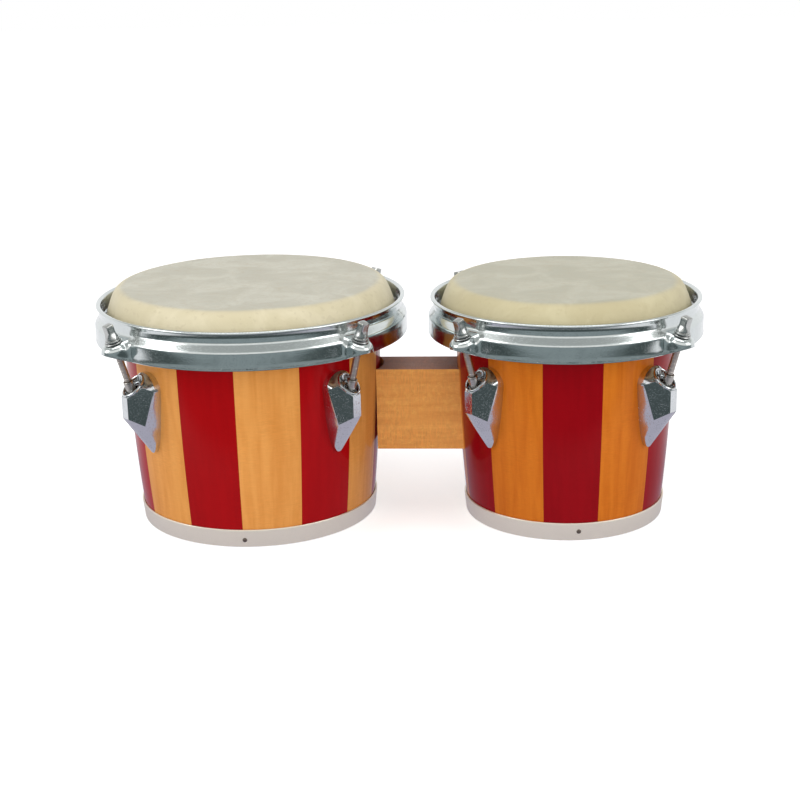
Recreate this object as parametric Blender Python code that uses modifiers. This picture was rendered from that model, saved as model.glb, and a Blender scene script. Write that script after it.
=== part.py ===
"""A pair of bongos: two tapered stave shells bolted to a wooden centre block.

Each drum holds its rawhide head with a pressed steel rim. Four leaning tension
rods pull the rim down, and each rod screws into a swivel nut inside a cast lug.
Metres, +Z up. The floor is z = 0, the drums stand in a row along X, and the
origin lies midway along the pair, under the middle of the block's thickness.
"""

import math

import bmesh
import bpy
from mathutils import Matrix, Vector

# Both drums
SHELL_HEIGHT = 0.1845
SHELL_TAPER = 0.0086
SHELL_BELLY_HEIGHT = 0.165
SHELL_WALL = 0.011
BEARING_EDGE_ROUND = 0.005
FIT_GAP = 0.0003
SCREW_HOLE_PLAY = 0.0003

# Each drum: radius at the top of its shell, staves, where the first one starts and the front band screw
LARGE_SHELL_RADIUS = 0.1004
LARGE_STAVES = 14
LARGE_STAVE_START = 13.4
LARGE_SCREW_ANGLE = -89.2
SMALL_SHELL_RADIUS = 0.0848
SMALL_STAVES = 12
SMALL_STAVE_START = 47.3
SMALL_SCREW_ANGLE = -83.5
FACETS_PER_STAVE = 3

# Bottom band
BAND_HEIGHT = 0.014
BAND_STEEL = 0.0012
BAND_SCREW_HEIGHT = 0.0065
BAND_SCREW_HEAD_RADIUS = 0.0018
BAND_SCREW_HEAD_HEIGHT = 0.0011
BAND_SCREW_SHANK_RADIUS = 0.0010
BAND_SCREW_LENGTH = 0.008

# Rawhide head and its steel flesh hoop
SKIN_THICKNESS = 0.0015
SKIN_FLAT_INSET = 0.0050
SKIN_EDGE_RADIUS = 0.0105
HOOP_WIRE_RADIUS = 0.0025
HOOP_PLAY = 0.0004
HOOP_DROP = 0.0010
TUCK_END_ANGLE = 35.0

# Pressed rim
RIM_STEEL = 0.0018
RIM_WALL_OFFSET = 0.0143
RIM_DROP = 0.0102
RIM_LIP_FLARE = 0.0035
RIM_LIP_THICKNESS = 0.0019
RIM_UPPER_HEIGHT = 0.0107
RIM_SHELF_WIDTH = 0.0054
RIM_SHOULDER_RADIUS = 0.0026
RIM_HEIGHT = 0.0277
RIM_FILLET = 0.0012

# Rim ears
EAR_REACH = 0.0275
EAR_HALF_WIDTH = 0.0092
EAR_ROOT_HALF_WIDTH = 0.0135
EAR_DEPTH = 0.0135
EAR_LIFT = 0.0060
EAR_HOLE_RADIUS = 0.0040

# Tension rods and washers
LUG_ANGLES = (-133.6, -43.6, 46.4, 136.4)
ROD_LEAN = math.radians(17.5)
ROD_RADIUS = 0.0026
ROD_LENGTH = 0.058
ROD_FLANGE_RADIUS = 0.0057
ROD_FLANGE_HEIGHT = 0.0016
ROD_FLARE_HEIGHT = 0.0050
ROD_HEAD_WIDTH = 0.0063
ROD_HEAD_HEIGHT = 0.0072
ROD_HEAD_CHAMFER = 0.0007
WASHER_RADIUS = 0.0066
WASHER_THICKNESS = 0.0012

# Swivel nuts
NUT_STAND = 0.0095
NUT_LENGTH = 0.021
NUT_RADIUS = 0.0036
NUT_COLLAR_RADIUS = 0.0047
NUT_COLLAR_DROP = 0.0135
NUT_COLLAR_HEIGHT = 0.0045
NUT_COLLAR_CHAMFER = 0.0008

# Cast lugs: where the plate is widest and where it ends, below the top of the shell
LUG_WIDE_DROP = 0.0655
LUG_TIP_DROP = 0.1160
LUG_WIDE_HEIGHT = SHELL_HEIGHT - LUG_WIDE_DROP
LUG_TIP_HEIGHT = SHELL_HEIGHT - LUG_TIP_DROP

# Lug casting: heights of its facets, below the plate's widest part
LUG_NOSE_TOP = LUG_WIDE_HEIGHT - 0.0020
LUG_NOSE_BOTTOM = LUG_WIDE_HEIGHT - 0.0185
LUG_CORNER_BOTTOM = LUG_WIDE_HEIGHT - 0.0250
LUG_SIDE_BOTTOM = LUG_WIDE_HEIGHT - 0.0120
LUG_CAVITY_FLOOR = LUG_WIDE_HEIGHT - 0.0230

# Lug casting: widths, and reaches outward from the rod's line or the shell
LUG_HALF_WIDTH = 0.0135
LUG_TIP_SHARPNESS = 0.42
LUG_PLATE_DEPTH = 0.0078
LUG_TIP_DEPTH = 0.0035
LUG_PLATE_DRAFT = 0.0012
LUG_NOSE_REACH = 0.0082
LUG_NOSE_HALF_WIDTH = 0.0028
LUG_CORNER_HALF_WIDTH = 0.0100
LUG_TOP_SLOPE = 0.40
LUG_WALL = 0.0019
LUG_SLOT_PLAY = 0.0005
LUG_KEYHOLE_RADIUS = 0.0052
LUG_KEYHOLE_SETBACK = 0.0042

# Lug screws, a pair for each lug on one backing strip inside the shell
LUG_SCREW_TIP_MARGIN = 0.0130
LUG_SCREW_CROWN_RISE = 0.0072
LUG_SCREW_HEIGHTS = (LUG_TIP_HEIGHT + LUG_SCREW_TIP_MARGIN, LUG_WIDE_HEIGHT + LUG_SCREW_CROWN_RISE)
LUG_SCREW_RADIUS = 0.0020
LUG_SCREW_BITE = 0.0052
LUG_SCREW_HEAD_RADIUS = 0.0040
LUG_SCREW_HEAD_HEIGHT = 0.0026
BACKING_STRIP_WIDTH = 0.012
BACKING_STRIP_MARGIN = 0.0075
BACKING_STRIP_THICKNESS = 0.0014

# Centre block and the screws that hold each shell to it
BLOCK_LENGTH = 0.0633
BLOCK_HEIGHT = 0.065
BLOCK_THICKNESS = 0.038
BLOCK_CENTRE_HEIGHT = 0.086
BLOCK_HOLLOW_DEPTH = 0.0032
BLOCK_SCREW_SPREAD = 0.034
BLOCK_SCREW_RADIUS = 0.0026
BLOCK_SCREW_BITE = 0.024
BLOCK_SCREW_HEAD_RADIUS = 0.0070
BLOCK_SCREW_HEAD_HEIGHT = 0.0042

# Facets of small turned pieces
TURNED_STEPS = 12
SCREW_STEPS = 10
EAR_END_STEPS = 8
MERGE = 0.00001
OVERSHOOT = 0.01
SHARP_ANGLE = 35.0

# Finishes: base colour, roughness, metallic
FINISHES = {
    "natural_lacquer": ((0.64, 0.26, 0.06), 0.28, 0.0),
    "red_lacquer": ((0.28, 0.006, 0.010), 0.22, 0.0),
    "block_wood": ((0.60, 0.27, 0.07), 0.40, 0.0),
    "rawhide": ((0.68, 0.62, 0.44), 0.60, 0.0),
    "chrome": ((0.62, 0.66, 0.67), 0.12, 1.0),
    "satin_steel": ((0.50, 0.47, 0.43), 0.38, 1.0),
    "zinc": ((0.26, 0.24, 0.22), 0.42, 1.0),
    "plain_steel": ((0.35, 0.35, 0.34), 0.40, 1.0),
}


class Drum:
    """The sizes of one drum that differ from the other's."""

    def __init__(self, name, radius, staves, stave_start, screw_angle, facing):
        self.name = name
        self.radius = radius
        self.staves = staves
        self.stave_start = stave_start
        self.screw_angles = (screw_angle, screw_angle + 180.0)
        self.facing = facing
        self.steps = staves * FACETS_PER_STAVE
        self.sag = math.cos(math.pi / self.steps)
        self.x = 0.0
        self.empty = None

    def outside(self, z):
        """Outer radius of the shell at height z, a gentle barrel curve."""
        fall = (SHELL_BELLY_HEIGHT - z) / SHELL_BELLY_HEIGHT
        return self.radius - SHELL_TAPER * fall * fall

    def inside(self, z):
        return self.outside(z) - SHELL_WALL

    def rim_wall(self):
        """Inner radius of the rim's upper wall."""
        return self.radius + RIM_WALL_OFFSET

    def rim_outside(self):
        """Outer radius of the rim's skirt."""
        return self.rim_wall() + RIM_STEEL + RIM_SHELF_WIDTH

    def ear_hole(self):
        """Radius of the ear's hole, where the rod passes through its top."""
        return self.radius + EAR_REACH

    def rod_reach(self, z):
        """Radius of a rod's axis at height z."""
        return self.ear_hole() - (ear_seat(self) - z) * math.tan(ROD_LEAN)


def rim_top():
    return SHELL_HEIGHT - RIM_DROP


def shelf_start():
    """Height of the rim's shelf where it leaves the upper wall."""
    return rim_top() - RIM_UPPER_HEIGHT


def shelf_height(drum, radius):
    """Height of the shelf's top, which lies square to the leaning rods."""
    return shelf_start() - (radius - drum.rim_wall() - RIM_STEEL) * math.tan(ROD_LEAN)


def ear_seat(drum):
    """Height of the ear's top at its hole."""
    return shelf_height(drum, drum.ear_hole())


def set_finish(obj, *names):
    for name in names:
        material = bpy.data.materials.get(name)
        if material is None:
            material = bpy.data.materials.new(name)
            material.use_nodes = True
            shader = material.node_tree.nodes["Principled BSDF"]
            colour, roughness, metallic = FINISHES[name]
            shader.inputs["Base Color"].default_value = (*colour, 1.0)
            shader.inputs["Roughness"].default_value = roughness
            shader.inputs["Metallic"].default_value = metallic
            material.diffuse_color = (*colour, 1.0)
        obj.data.materials.append(material)


def smooth(mesh):
    mesh.shade_smooth()
    mesh.set_sharp_from_angle(angle=math.radians(SHARP_ANGLE))


def place(obj, collection, parent=None):
    collection.objects.link(obj)
    obj.parent = parent
    return obj


def make_cutter(obj):
    obj.hide_render = True
    obj.display_type = "WIRE"
    return obj


def evaluated_mesh(obj):
    """The object's mesh with its modifiers applied, in its own space."""
    bpy.context.view_layer.update()
    graph = bpy.context.evaluated_depsgraph_get()
    mesh = bpy.data.meshes.new_from_object(obj.evaluated_get(graph))
    return mesh


def turned(name, profile, steps, parent, collection=None, start=0.0):
    """A profile of (radius, height) points, its outer side top to bottom, turned about Z."""
    closed = profile[0][0] > MERGE or profile[-1][0] > MERGE
    mesh = bpy.data.meshes.new(name)
    work = bmesh.new()
    corners = [work.verts.new((r, 0.0, z)) for r, z in profile]
    for a, b in zip(corners, corners[1:]):
        work.edges.new((a, b))
    if closed:
        work.edges.new((corners[-1], corners[0]))
    work.to_mesh(mesh)
    work.free()
    guide = place(bpy.data.objects.new(name, mesh), parts)
    screw = guide.modifiers.new("turn", "SCREW")
    screw.steps = steps
    screw.render_steps = steps
    screw.use_merge_vertices = True
    screw.merge_threshold = MERGE
    whole = evaluated_mesh(guide)
    bpy.data.objects.remove(guide)
    bpy.data.meshes.remove(mesh)
    smooth(whole)
    whole.name = name
    obj = place(bpy.data.objects.new(name, whole), collection or parts, parent)
    obj.rotation_euler.z = math.radians(start)
    return obj


def hull(name, points, parent, collection=None):
    """The convex solid round a few corner points."""
    mesh = bpy.data.meshes.new(name)
    work = bmesh.new()
    for point in points:
        work.verts.new(point)
    result = bmesh.ops.convex_hull(work, input=work.verts)
    spare = [v for v in result["geom_interior"] + result["geom_unused"] if isinstance(v, bmesh.types.BMVert)]
    bmesh.ops.delete(work, geom=list(set(spare)), context="VERTS")
    bmesh.ops.dissolve_limit(work, angle_limit=math.radians(0.5), verts=work.verts, edges=work.edges)
    bmesh.ops.recalc_face_normals(work, faces=work.faces)
    work.to_mesh(mesh)
    work.free()
    return place(bpy.data.objects.new(name, mesh), collection or parts, parent)


def rod_between(name, radius, start, end, steps, parent, collection=None):
    """A plain cylinder from start to end."""
    start, end = Vector(start), Vector(end)
    run = end - start
    mesh = bpy.data.meshes.new(name)
    work = bmesh.new()
    bmesh.ops.create_cone(
        work, cap_ends=True, segments=steps, radius1=radius, radius2=radius, depth=run.length
    )
    turn = run.to_track_quat("Z", "Y").to_matrix().to_4x4()
    work.transform(Matrix.Translation((start + end) / 2) @ turn)
    work.to_mesh(mesh)
    work.free()
    return place(bpy.data.objects.new(name, mesh), collection or parts, parent)


def box(name, low, high, parent, collection=None):
    mesh = bpy.data.meshes.new(name)
    work = bmesh.new()
    bmesh.ops.create_cube(work, size=1.0)
    low, high = Vector(low), Vector(high)
    work.transform(Matrix.Translation((low + high) / 2) @ Matrix.Diagonal((*(high - low), 1.0)))
    work.to_mesh(mesh)
    work.free()
    return place(bpy.data.objects.new(name, mesh), collection or parts, parent)


def outline_solid(name, points, thickness, parent, collection=None):
    """A flat outline in XY, thickened by a 2D curve about its own plane."""
    curve = bpy.data.curves.new(name, "CURVE")
    curve.dimensions = "2D"
    curve.fill_mode = "BOTH"
    curve.extrude = thickness / 2
    spline = curve.splines.new("POLY")
    spline.points.add(len(points) - 1)
    for point, (x, y) in zip(spline.points, points):
        point.co = (x, y, 0.0, 1.0)
    spline.use_cyclic_u = True
    guide = place(bpy.data.objects.new(name, curve), collection or parts, parent)
    mesh = evaluated_mesh(guide)
    bpy.data.objects.remove(guide)
    bpy.data.curves.remove(curve)
    work = bmesh.new()
    work.from_mesh(mesh)
    bmesh.ops.remove_doubles(work, verts=work.verts, dist=MERGE)
    bmesh.ops.recalc_face_normals(work, faces=work.faces)
    work.to_mesh(mesh)
    work.free()
    return place(bpy.data.objects.new(name, mesh), collection or parts, parent)


def combine(obj, other, operation):
    step = obj.modifiers.new(operation.lower(), "BOOLEAN")
    step.operation = operation
    step.solver = "EXACT"
    step.object = other
    return obj


def cut(obj, *cutters):
    for cutter in cutters:
        combine(obj, make_cutter(cutter), "DIFFERENCE")
    return obj


def arc(centre, radius, start, end, count):
    """Points of an arc in degrees, its ends included."""
    points = []
    for i in range(count + 1):
        angle = math.radians(start + (end - start) * i / count)
        points.append((centre[0] + radius * math.cos(angle), centre[1] + radius * math.sin(angle)))
    return points


def offset_path(points, distance):
    """A path of (radius, height) points moved sideways, to the right of its run."""
    moved = []
    for i, point in enumerate(points):
        before = Vector(points[max(i - 1, 0)])
        after = Vector(points[min(i + 1, len(points) - 1)])
        run = (after - before).normalized()
        moved.append((point[0] + run.y * distance, point[1] - run.x * distance))
    return moved


def shell_profile(drum, clearance=0.0):
    """The shell's outer side from the bearing edge to the floor."""
    edge = (drum.outside(SHELL_HEIGHT) - BEARING_EDGE_ROUND, SHELL_HEIGHT - BEARING_EDGE_ROUND)
    rounded = arc(edge, BEARING_EDGE_ROUND + clearance, 80.0, 0.0, 2)
    heights = [SHELL_BELLY_HEIGHT * share for share in (0.7, 0.33)]
    return rounded + [(drum.outside(z) + clearance, z) for z in (*heights, 0.0)]


def make_shell(drum):
    """Glued staves, turned to a barrel curve, with a rounded bearing edge and an open foot."""
    outer = shell_profile(drum)
    rise = BEARING_EDGE_ROUND * 0.5
    inner = [(drum.inside(z), z) for z in (0.0, SHELL_BELLY_HEIGHT * 0.33, SHELL_BELLY_HEIGHT * 0.7)]
    top = (drum.inside(SHELL_HEIGHT), SHELL_HEIGHT - rise)
    profile = outer + inner + [top]
    shell = turned(f"shell_{drum.name}", profile, drum.steps, drum.empty, start=drum.stave_start)
    set_finish(shell, "natural_lacquer", "red_lacquer")
    stave = math.tau / drum.staves
    for face in shell.data.polygons:
        turn = math.atan2(face.center.y, face.center.x) % math.tau
        face.material_index = int(turn / stave) % 2
    for angle in LUG_ANGLES:
        for height in LUG_SCREW_HEIGHTS:
            radius = LUG_SCREW_RADIUS + SCREW_HOLE_PLAY
            ends = drum.inside(height) - OVERSHOOT, drum.outside(height) + OVERSHOOT
            cut(shell, spoke(drum, angle, height, radius, *ends))
    for height in block_screw_heights():
        radius = BLOCK_SCREW_RADIUS + SCREW_HOLE_PLAY
        ends = drum.inside(height) - OVERSHOOT, drum.outside(height) + OVERSHOOT
        cut(shell, spoke(drum, drum.facing, height, radius, *ends))
    for angle in drum.screw_angles:
        radius = BAND_SCREW_SHANK_RADIUS + SCREW_HOLE_PLAY
        surface = drum.outside(BAND_SCREW_HEIGHT)
        ends = surface - BAND_SCREW_LENGTH - FIT_GAP, surface + OVERSHOOT
        cut(shell, spoke(drum, angle, BAND_SCREW_HEIGHT, radius, *ends))
    return shell


def spoke(drum, angle, height, radius, start, end):
    """A radial drill through a drum's wall."""
    turn = math.radians(angle)
    way = Vector((math.cos(turn), math.sin(turn), 0.0))
    low = way * start + Vector((0, 0, height))
    high = way * end + Vector((0, 0, height))
    return rod_between("drill", radius, low, high, SCREW_STEPS, drum.empty, cutters)


def make_band(drum):
    """A flat steel strip round the foot of the shell."""
    low, high = drum.outside(0.0) + FIT_GAP, drum.outside(BAND_HEIGHT) + FIT_GAP
    profile = [(high + BAND_STEEL, BAND_HEIGHT), (low + BAND_STEEL, 0.0), (low, 0.0), (high, BAND_HEIGHT)]
    band = turned(f"bottom_band_{drum.name}", profile, drum.steps, drum.empty, start=drum.stave_start)
    for angle in drum.screw_angles:
        radius = BAND_SCREW_SHANK_RADIUS + SCREW_HOLE_PLAY
        cut(band, spoke(drum, angle, BAND_SCREW_HEIGHT, radius, low - OVERSHOOT, high + OVERSHOOT))
    set_finish(band, "satin_steel")
    return band


def headed_screw(name, head_radius, head_height, shank_radius, length, steps, parent):
    """A round-headed screw along local Z: the head above z = 0, the shank below."""
    dome = [(head_radius * 0.55, head_height), (head_radius * 0.92, head_height * 0.55), (head_radius, 0.0)]
    profile = [(0.0, head_height), *dome, (shank_radius, 0.0), (shank_radius, -length), (0.0, -length)]
    return turned(name, profile, steps, parent)


def outward(drum, angle, radius, height, name):
    """An empty on a drum whose Z axis points straight out of the shell."""
    turn = math.radians(angle)
    empty = place(bpy.data.objects.new(name, None), parts, drum.empty)
    empty.location = (radius * math.cos(turn), radius * math.sin(turn), height)
    empty.rotation_euler = (0.0, math.pi / 2, turn)
    return empty


def make_band_screws(drum):
    seat = drum.outside(BAND_SCREW_HEIGHT) + 2 * FIT_GAP + BAND_STEEL
    for number, angle in enumerate(drum.screw_angles, 1):
        spot = outward(drum, angle, seat, BAND_SCREW_HEIGHT, f"band_screw_spot_{drum.name}_{number}")
        length = BAND_SCREW_LENGTH + 2 * FIT_GAP + BAND_STEEL
        screw = headed_screw(
            f"band_screw_{drum.name}_{number}",
            BAND_SCREW_HEAD_RADIUS,
            BAND_SCREW_HEAD_HEIGHT,
            BAND_SCREW_SHANK_RADIUS,
            length,
            SCREW_STEPS,
            spot,
        )
        set_finish(screw, "plain_steel")


def hoop_centre(drum):
    """Radius and height of the flesh hoop, tucked under the rim's shelf."""
    wrap = HOOP_WIRE_RADIUS + HOOP_PLAY + SKIN_THICKNESS
    radius = drum.rim_outside() - RIM_STEEL - HOOP_PLAY - wrap
    under_shelf = shelf_height(drum, radius) - RIM_STEEL / math.cos(ROD_LEAN)
    return radius, under_shelf - wrap - HOOP_DROP


def make_skin(drum):
    """Rawhide: flat over the shell, down the slope and tucked round the flesh hoop."""
    half = SKIN_THICKNESS / 2
    level = SHELL_HEIGHT + FIT_GAP + half
    radius, height = hoop_centre(drum)
    wrap = HOOP_WIRE_RADIUS + HOOP_PLAY + half
    flat = drum.radius - SKIN_FLAT_INSET
    bend = arc((flat, level - SKIN_EDGE_RADIUS), SKIN_EDGE_RADIUS, 90.0, 28.0, 3)
    side = (radius - wrap - half * 0.6, rim_top() - SKIN_FLAT_INSET)
    tuck = arc((radius, height), wrap, 180.0, 360.0 + TUCK_END_ANGLE, 5)
    path = [(0.0, level), *bend, side, *tuck]
    outer = offset_path(path, -half)
    inner = offset_path(path, half)
    outer[0] = (0.0, level + half)
    inner[0] = (0.0, level - half)
    skin = turned(f"skin_{drum.name}", outer + inner[::-1], drum.steps, drum.empty, start=drum.stave_start)
    set_finish(skin, "rawhide")
    return skin


def make_flesh_hoop(drum):
    """A round steel ring that the rawhide is wrapped over."""
    profile = arc(hoop_centre(drum), HOOP_WIRE_RADIUS, 90.0, -270.0, 6)[:-1]
    hoop = turned(f"flesh_hoop_{drum.name}", profile, drum.steps, drum.empty, start=drum.stave_start)
    set_finish(hoop, "plain_steel")
    return hoop


def rim_profile(drum):
    """The pressed section: flared lip, upper wall, sloping shelf, rounded shoulder and skirt."""
    wall = drum.rim_wall()
    outer = wall + RIM_STEEL
    skirt = drum.rim_outside()
    top = rim_top()
    bottom = top - RIM_HEIGHT
    turn = skirt - RIM_SHOULDER_RADIUS
    shoulder = (turn, shelf_height(drum, turn) - RIM_SHOULDER_RADIUS)
    lip = [
        (wall + RIM_STEEL * 0.7, top),
        (outer + RIM_LIP_FLARE, top - RIM_LIP_THICKNESS * 0.2),
        (outer + RIM_LIP_FLARE, top - RIM_LIP_THICKNESS),
        (outer, top - RIM_LIP_THICKNESS * 2),
    ]
    fillet = outer + RIM_FILLET
    shelf = [(outer, shelf_start() + RIM_FILLET), (fillet, shelf_height(drum, fillet))]
    rounded = arc(shoulder, RIM_SHOULDER_RADIUS, 75.0, 0.0, 3)
    inside_skirt = skirt - RIM_STEEL
    under = shelf_height(drum, inside_skirt) - RIM_STEEL / math.cos(ROD_LEAN)
    inner = [(inside_skirt, bottom), (inside_skirt, under - RIM_FILLET), (inside_skirt - RIM_FILLET, under)]
    return lip + shelf + rounded + [(skirt, bottom)] + inner + [
        (wall, shelf_start() - RIM_STEEL),
        (wall, top - RIM_LIP_THICKNESS * 1.4),
    ]


def tongue(name, half_width, root_half_width, root, thickness, parent):
    """A rounded tongue that reaches out from the skirt, round the rod's hole."""
    end = arc((0.0, 0.0), half_width, -90.0, 90.0, EAR_END_STEPS)
    sides = [(root, root_half_width), (root, -root_half_width)]
    return outline_solid(name, end + sides, thickness, parent, cutters)


def make_rim(drum):
    """The ring with four hollow ears, each with a hole for a tension rod."""
    rim = turned(f"rim_{drum.name}", rim_profile(drum), drum.steps, drum.empty, start=drum.stave_start)
    skirt = drum.rim_outside()
    bottom = rim_top() - RIM_HEIGHT
    ceiling = shelf_height(drum, skirt - RIM_STEEL) - RIM_STEEL / math.cos(ROD_LEAN)
    middle = skirt - RIM_STEEL / 2
    plug = [(0.0, ceiling), (middle, ceiling), (middle, bottom - EAR_DEPTH), (0.0, bottom - EAR_DEPTH)]
    core = turned("ring_core", plug, drum.steps, drum.empty, cutters, start=drum.stave_start)
    for angle in LUG_ANGLES:
        seat = lean_empty(drum, angle, f"ear_{drum.name}_{angle:g}")
        root = -(drum.ear_hole() - skirt + RIM_SHOULDER_RADIUS) / math.cos(ROD_LEAN)
        ear = tongue("ear", EAR_HALF_WIDTH, EAR_ROOT_HALF_WIDTH, root, EAR_DEPTH, seat)
        ear.location.z = -EAR_DEPTH / 2
        trim = hull("ear_trim", ear_underside(drum, skirt, bottom, angle), drum.empty, cutters)
        cut(ear, trim, core)
        combine(rim, make_cutter(ear), "UNION")
    for angle in LUG_ANGLES:
        seat = lean_empty(drum, angle, f"ear_inside_{drum.name}_{angle:g}")
        root = -(drum.ear_hole() - skirt + RIM_STEEL * 2.5) / math.cos(ROD_LEAN)
        hollow = tongue(
            "ear_hollow",
            EAR_HALF_WIDTH - RIM_STEEL,
            EAR_ROOT_HALF_WIDTH - RIM_STEEL * 1.4,
            root,
            EAR_DEPTH * 3,
            seat,
        )
        hollow.location.z = -EAR_DEPTH * 1.5 - RIM_STEEL
        hole = rod_between(
            "ear_hole", EAR_HOLE_RADIUS, (0, 0, -EAR_DEPTH), (0, 0, EAR_DEPTH), TURNED_STEPS, seat, cutters
        )
        cut(rim, hollow, hole)
    set_finish(rim, "chrome")
    return rim


def ear_underside(drum, skirt, bottom, angle):
    """Corners of the block that trims an ear's lower edge, rising from the skirt to the tip."""
    turn = math.radians(angle)
    out = Vector((math.cos(turn), math.sin(turn), 0.0))
    across = Vector((-out.y, out.x, 0.0))
    near, far = skirt - RIM_STEEL * 2, skirt + EAR_REACH
    slope = EAR_LIFT / (drum.ear_hole() + EAR_HALF_WIDTH - skirt)
    corners = []
    for reach in (near, far):
        edge = bottom + (reach - skirt) * slope
        for height in (edge, bottom - EAR_DEPTH * 2):
            for side in (-EAR_ROOT_HALF_WIDTH * 1.5, EAR_ROOT_HALF_WIDTH * 1.5):
                corners.append(out * reach + across * side + Vector((0, 0, height)))
    return corners


def lean_empty(drum, angle, name):
    """An empty at an ear's hole whose Z axis runs up the leaning rod."""
    turn = math.radians(angle)
    empty = place(bpy.data.objects.new(name, None), parts, drum.empty)
    reach = drum.ear_hole()
    empty.location = (reach * math.cos(turn), reach * math.sin(turn), ear_seat(drum))
    empty.rotation_euler = (0.0, ROD_LEAN, turn)
    return empty


def make_rod(drum, number, seat):
    """A square-headed tension rod that hangs through the washer and the ear."""
    base = WASHER_THICKNESS + 2 * FIT_GAP
    neck = base + ROD_FLANGE_HEIGHT
    head = neck + ROD_FLARE_HEIGHT
    top = head + ROD_HEAD_HEIGHT
    corner = ROD_HEAD_WIDTH * 0.64
    profile = [
        (0.0, top),
        (corner * 0.8, top),
        (corner, top - ROD_HEAD_CHAMFER),
        (corner, head),
        (ROD_FLANGE_RADIUS * 0.86, neck),
        (ROD_FLANGE_RADIUS, neck - ROD_FLANGE_HEIGHT * 0.3),
        (ROD_FLANGE_RADIUS, base),
        (ROD_RADIUS, base),
        (ROD_RADIUS, base - ROD_LENGTH),
        (0.0, base - ROD_LENGTH),
    ]
    rod = turned(f"tension_rod_{drum.name}_{number}", profile, TURNED_STEPS, seat)
    half = ROD_HEAD_WIDTH / 2
    for turn in range(4):
        far = (half + OVERSHOOT, OVERSHOOT, top + OVERSHOOT)
        flat = box("head_flat", (half, -OVERSHOOT, head), far, seat, cutters)
        flat.rotation_euler.z = math.tau * turn / 4
        cut(rod, flat)
    set_finish(rod, "zinc")
    return rod


def make_washer(drum, number, seat):
    """A flat washer on the ear, covering its wide hole."""
    low, high = FIT_GAP, FIT_GAP + WASHER_THICKNESS
    bore = ROD_RADIUS + FIT_GAP
    profile = [(WASHER_RADIUS, high), (WASHER_RADIUS, low), (bore, low), (bore, high)]
    washer = turned(f"washer_{drum.name}_{number}", profile, TURNED_STEPS, seat)
    set_finish(washer, "zinc")
    return washer


def lug_top_at_rod():
    """Height at which a rod's axis meets the sloping top of its lug."""
    return LUG_NOSE_TOP + LUG_NOSE_REACH * LUG_TOP_SLOPE / (1 + math.tan(ROD_LEAN) * LUG_TOP_SLOPE)


def nut_top(drum):
    """Local height of the nut's top, below the ear's seat, standing a little above the lug."""
    return NUT_STAND - (ear_seat(drum) - lug_top_at_rod()) / math.cos(ROD_LEAN)


def make_nut(drum, number, seat):
    """A threaded sleeve whose collar hangs under the lug's top."""
    top = nut_top(drum)
    collar = top - NUT_COLLAR_DROP
    bore = ROD_RADIUS + FIT_GAP
    profile = [
        (NUT_RADIUS, top),
        (NUT_RADIUS, collar),
        (NUT_COLLAR_RADIUS, collar - NUT_COLLAR_CHAMFER),
        (NUT_COLLAR_RADIUS, collar - NUT_COLLAR_HEIGHT),
        (NUT_RADIUS, collar - NUT_COLLAR_HEIGHT - NUT_COLLAR_CHAMFER),
        (NUT_RADIUS, top - NUT_LENGTH),
        (bore, top - NUT_LENGTH),
        (bore, top),
    ]
    nut = turned(f"swivel_nut_{drum.name}_{number}", profile, SCREW_STEPS, seat)
    set_finish(nut, "plain_steel")
    return nut


def lug_half_width(z):
    """Half the width of the lug's base plate at height z: a round top over a pointed foot."""
    if z >= LUG_WIDE_HEIGHT:
        rise = (z - LUG_WIDE_HEIGHT) / LUG_HALF_WIDTH
        return LUG_HALF_WIDTH * math.sqrt(max(0.0, 1.0 - rise * rise))
    share = (z - LUG_TIP_HEIGHT) / (LUG_WIDE_HEIGHT - LUG_TIP_HEIGHT)
    return LUG_HALF_WIDTH * share**LUG_TIP_SHARPNESS


def lug_heights():
    """Heights at which the plate's outline is drawn, from the foot to the crown."""
    rise = LUG_WIDE_HEIGHT - LUG_TIP_HEIGHT
    foot = [LUG_TIP_HEIGHT + rise * share for share in (0.012, 0.06, 0.2, 0.42, 0.7, 1.0)]
    turns = [math.radians(angle) for angle in (28.0, 52.0, 72.0, 86.0)]
    crown = [LUG_WIDE_HEIGHT + LUG_HALF_WIDTH * math.sin(turn) for turn in turns]
    return foot + crown


def plate_front(drum, z):
    """Radius of the plate's front face: full depth at the top, thinner at the pointed foot."""
    share = min(1.0, (z - LUG_TIP_HEIGHT) / (LUG_CORNER_BOTTOM - LUG_TIP_HEIGHT))
    depth = LUG_TIP_DEPTH + (LUG_PLATE_DEPTH - LUG_TIP_DEPTH) * share
    return drum.outside(z) + depth


def behind_seat(drum, z):
    """A radius inside the shell's wall, from which a lug is cut back to its seat."""
    return drum.outside(z) - SHELL_WALL * 0.4


def plate_points(drum, front_only=False):
    """Corners of the base plate: its outline at the shell and, drawn in a little, at its front."""
    points = []
    for z in lug_heights():
        half = lug_half_width(z)
        front = plate_front(drum, z)
        for side in (-1, 1):
            points.append((front, side * half * (1 - LUG_PLATE_DRAFT / LUG_HALF_WIDTH), z))
            if not front_only:
                points.append((behind_seat(drum, z), side * half, z))
    return points


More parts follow.
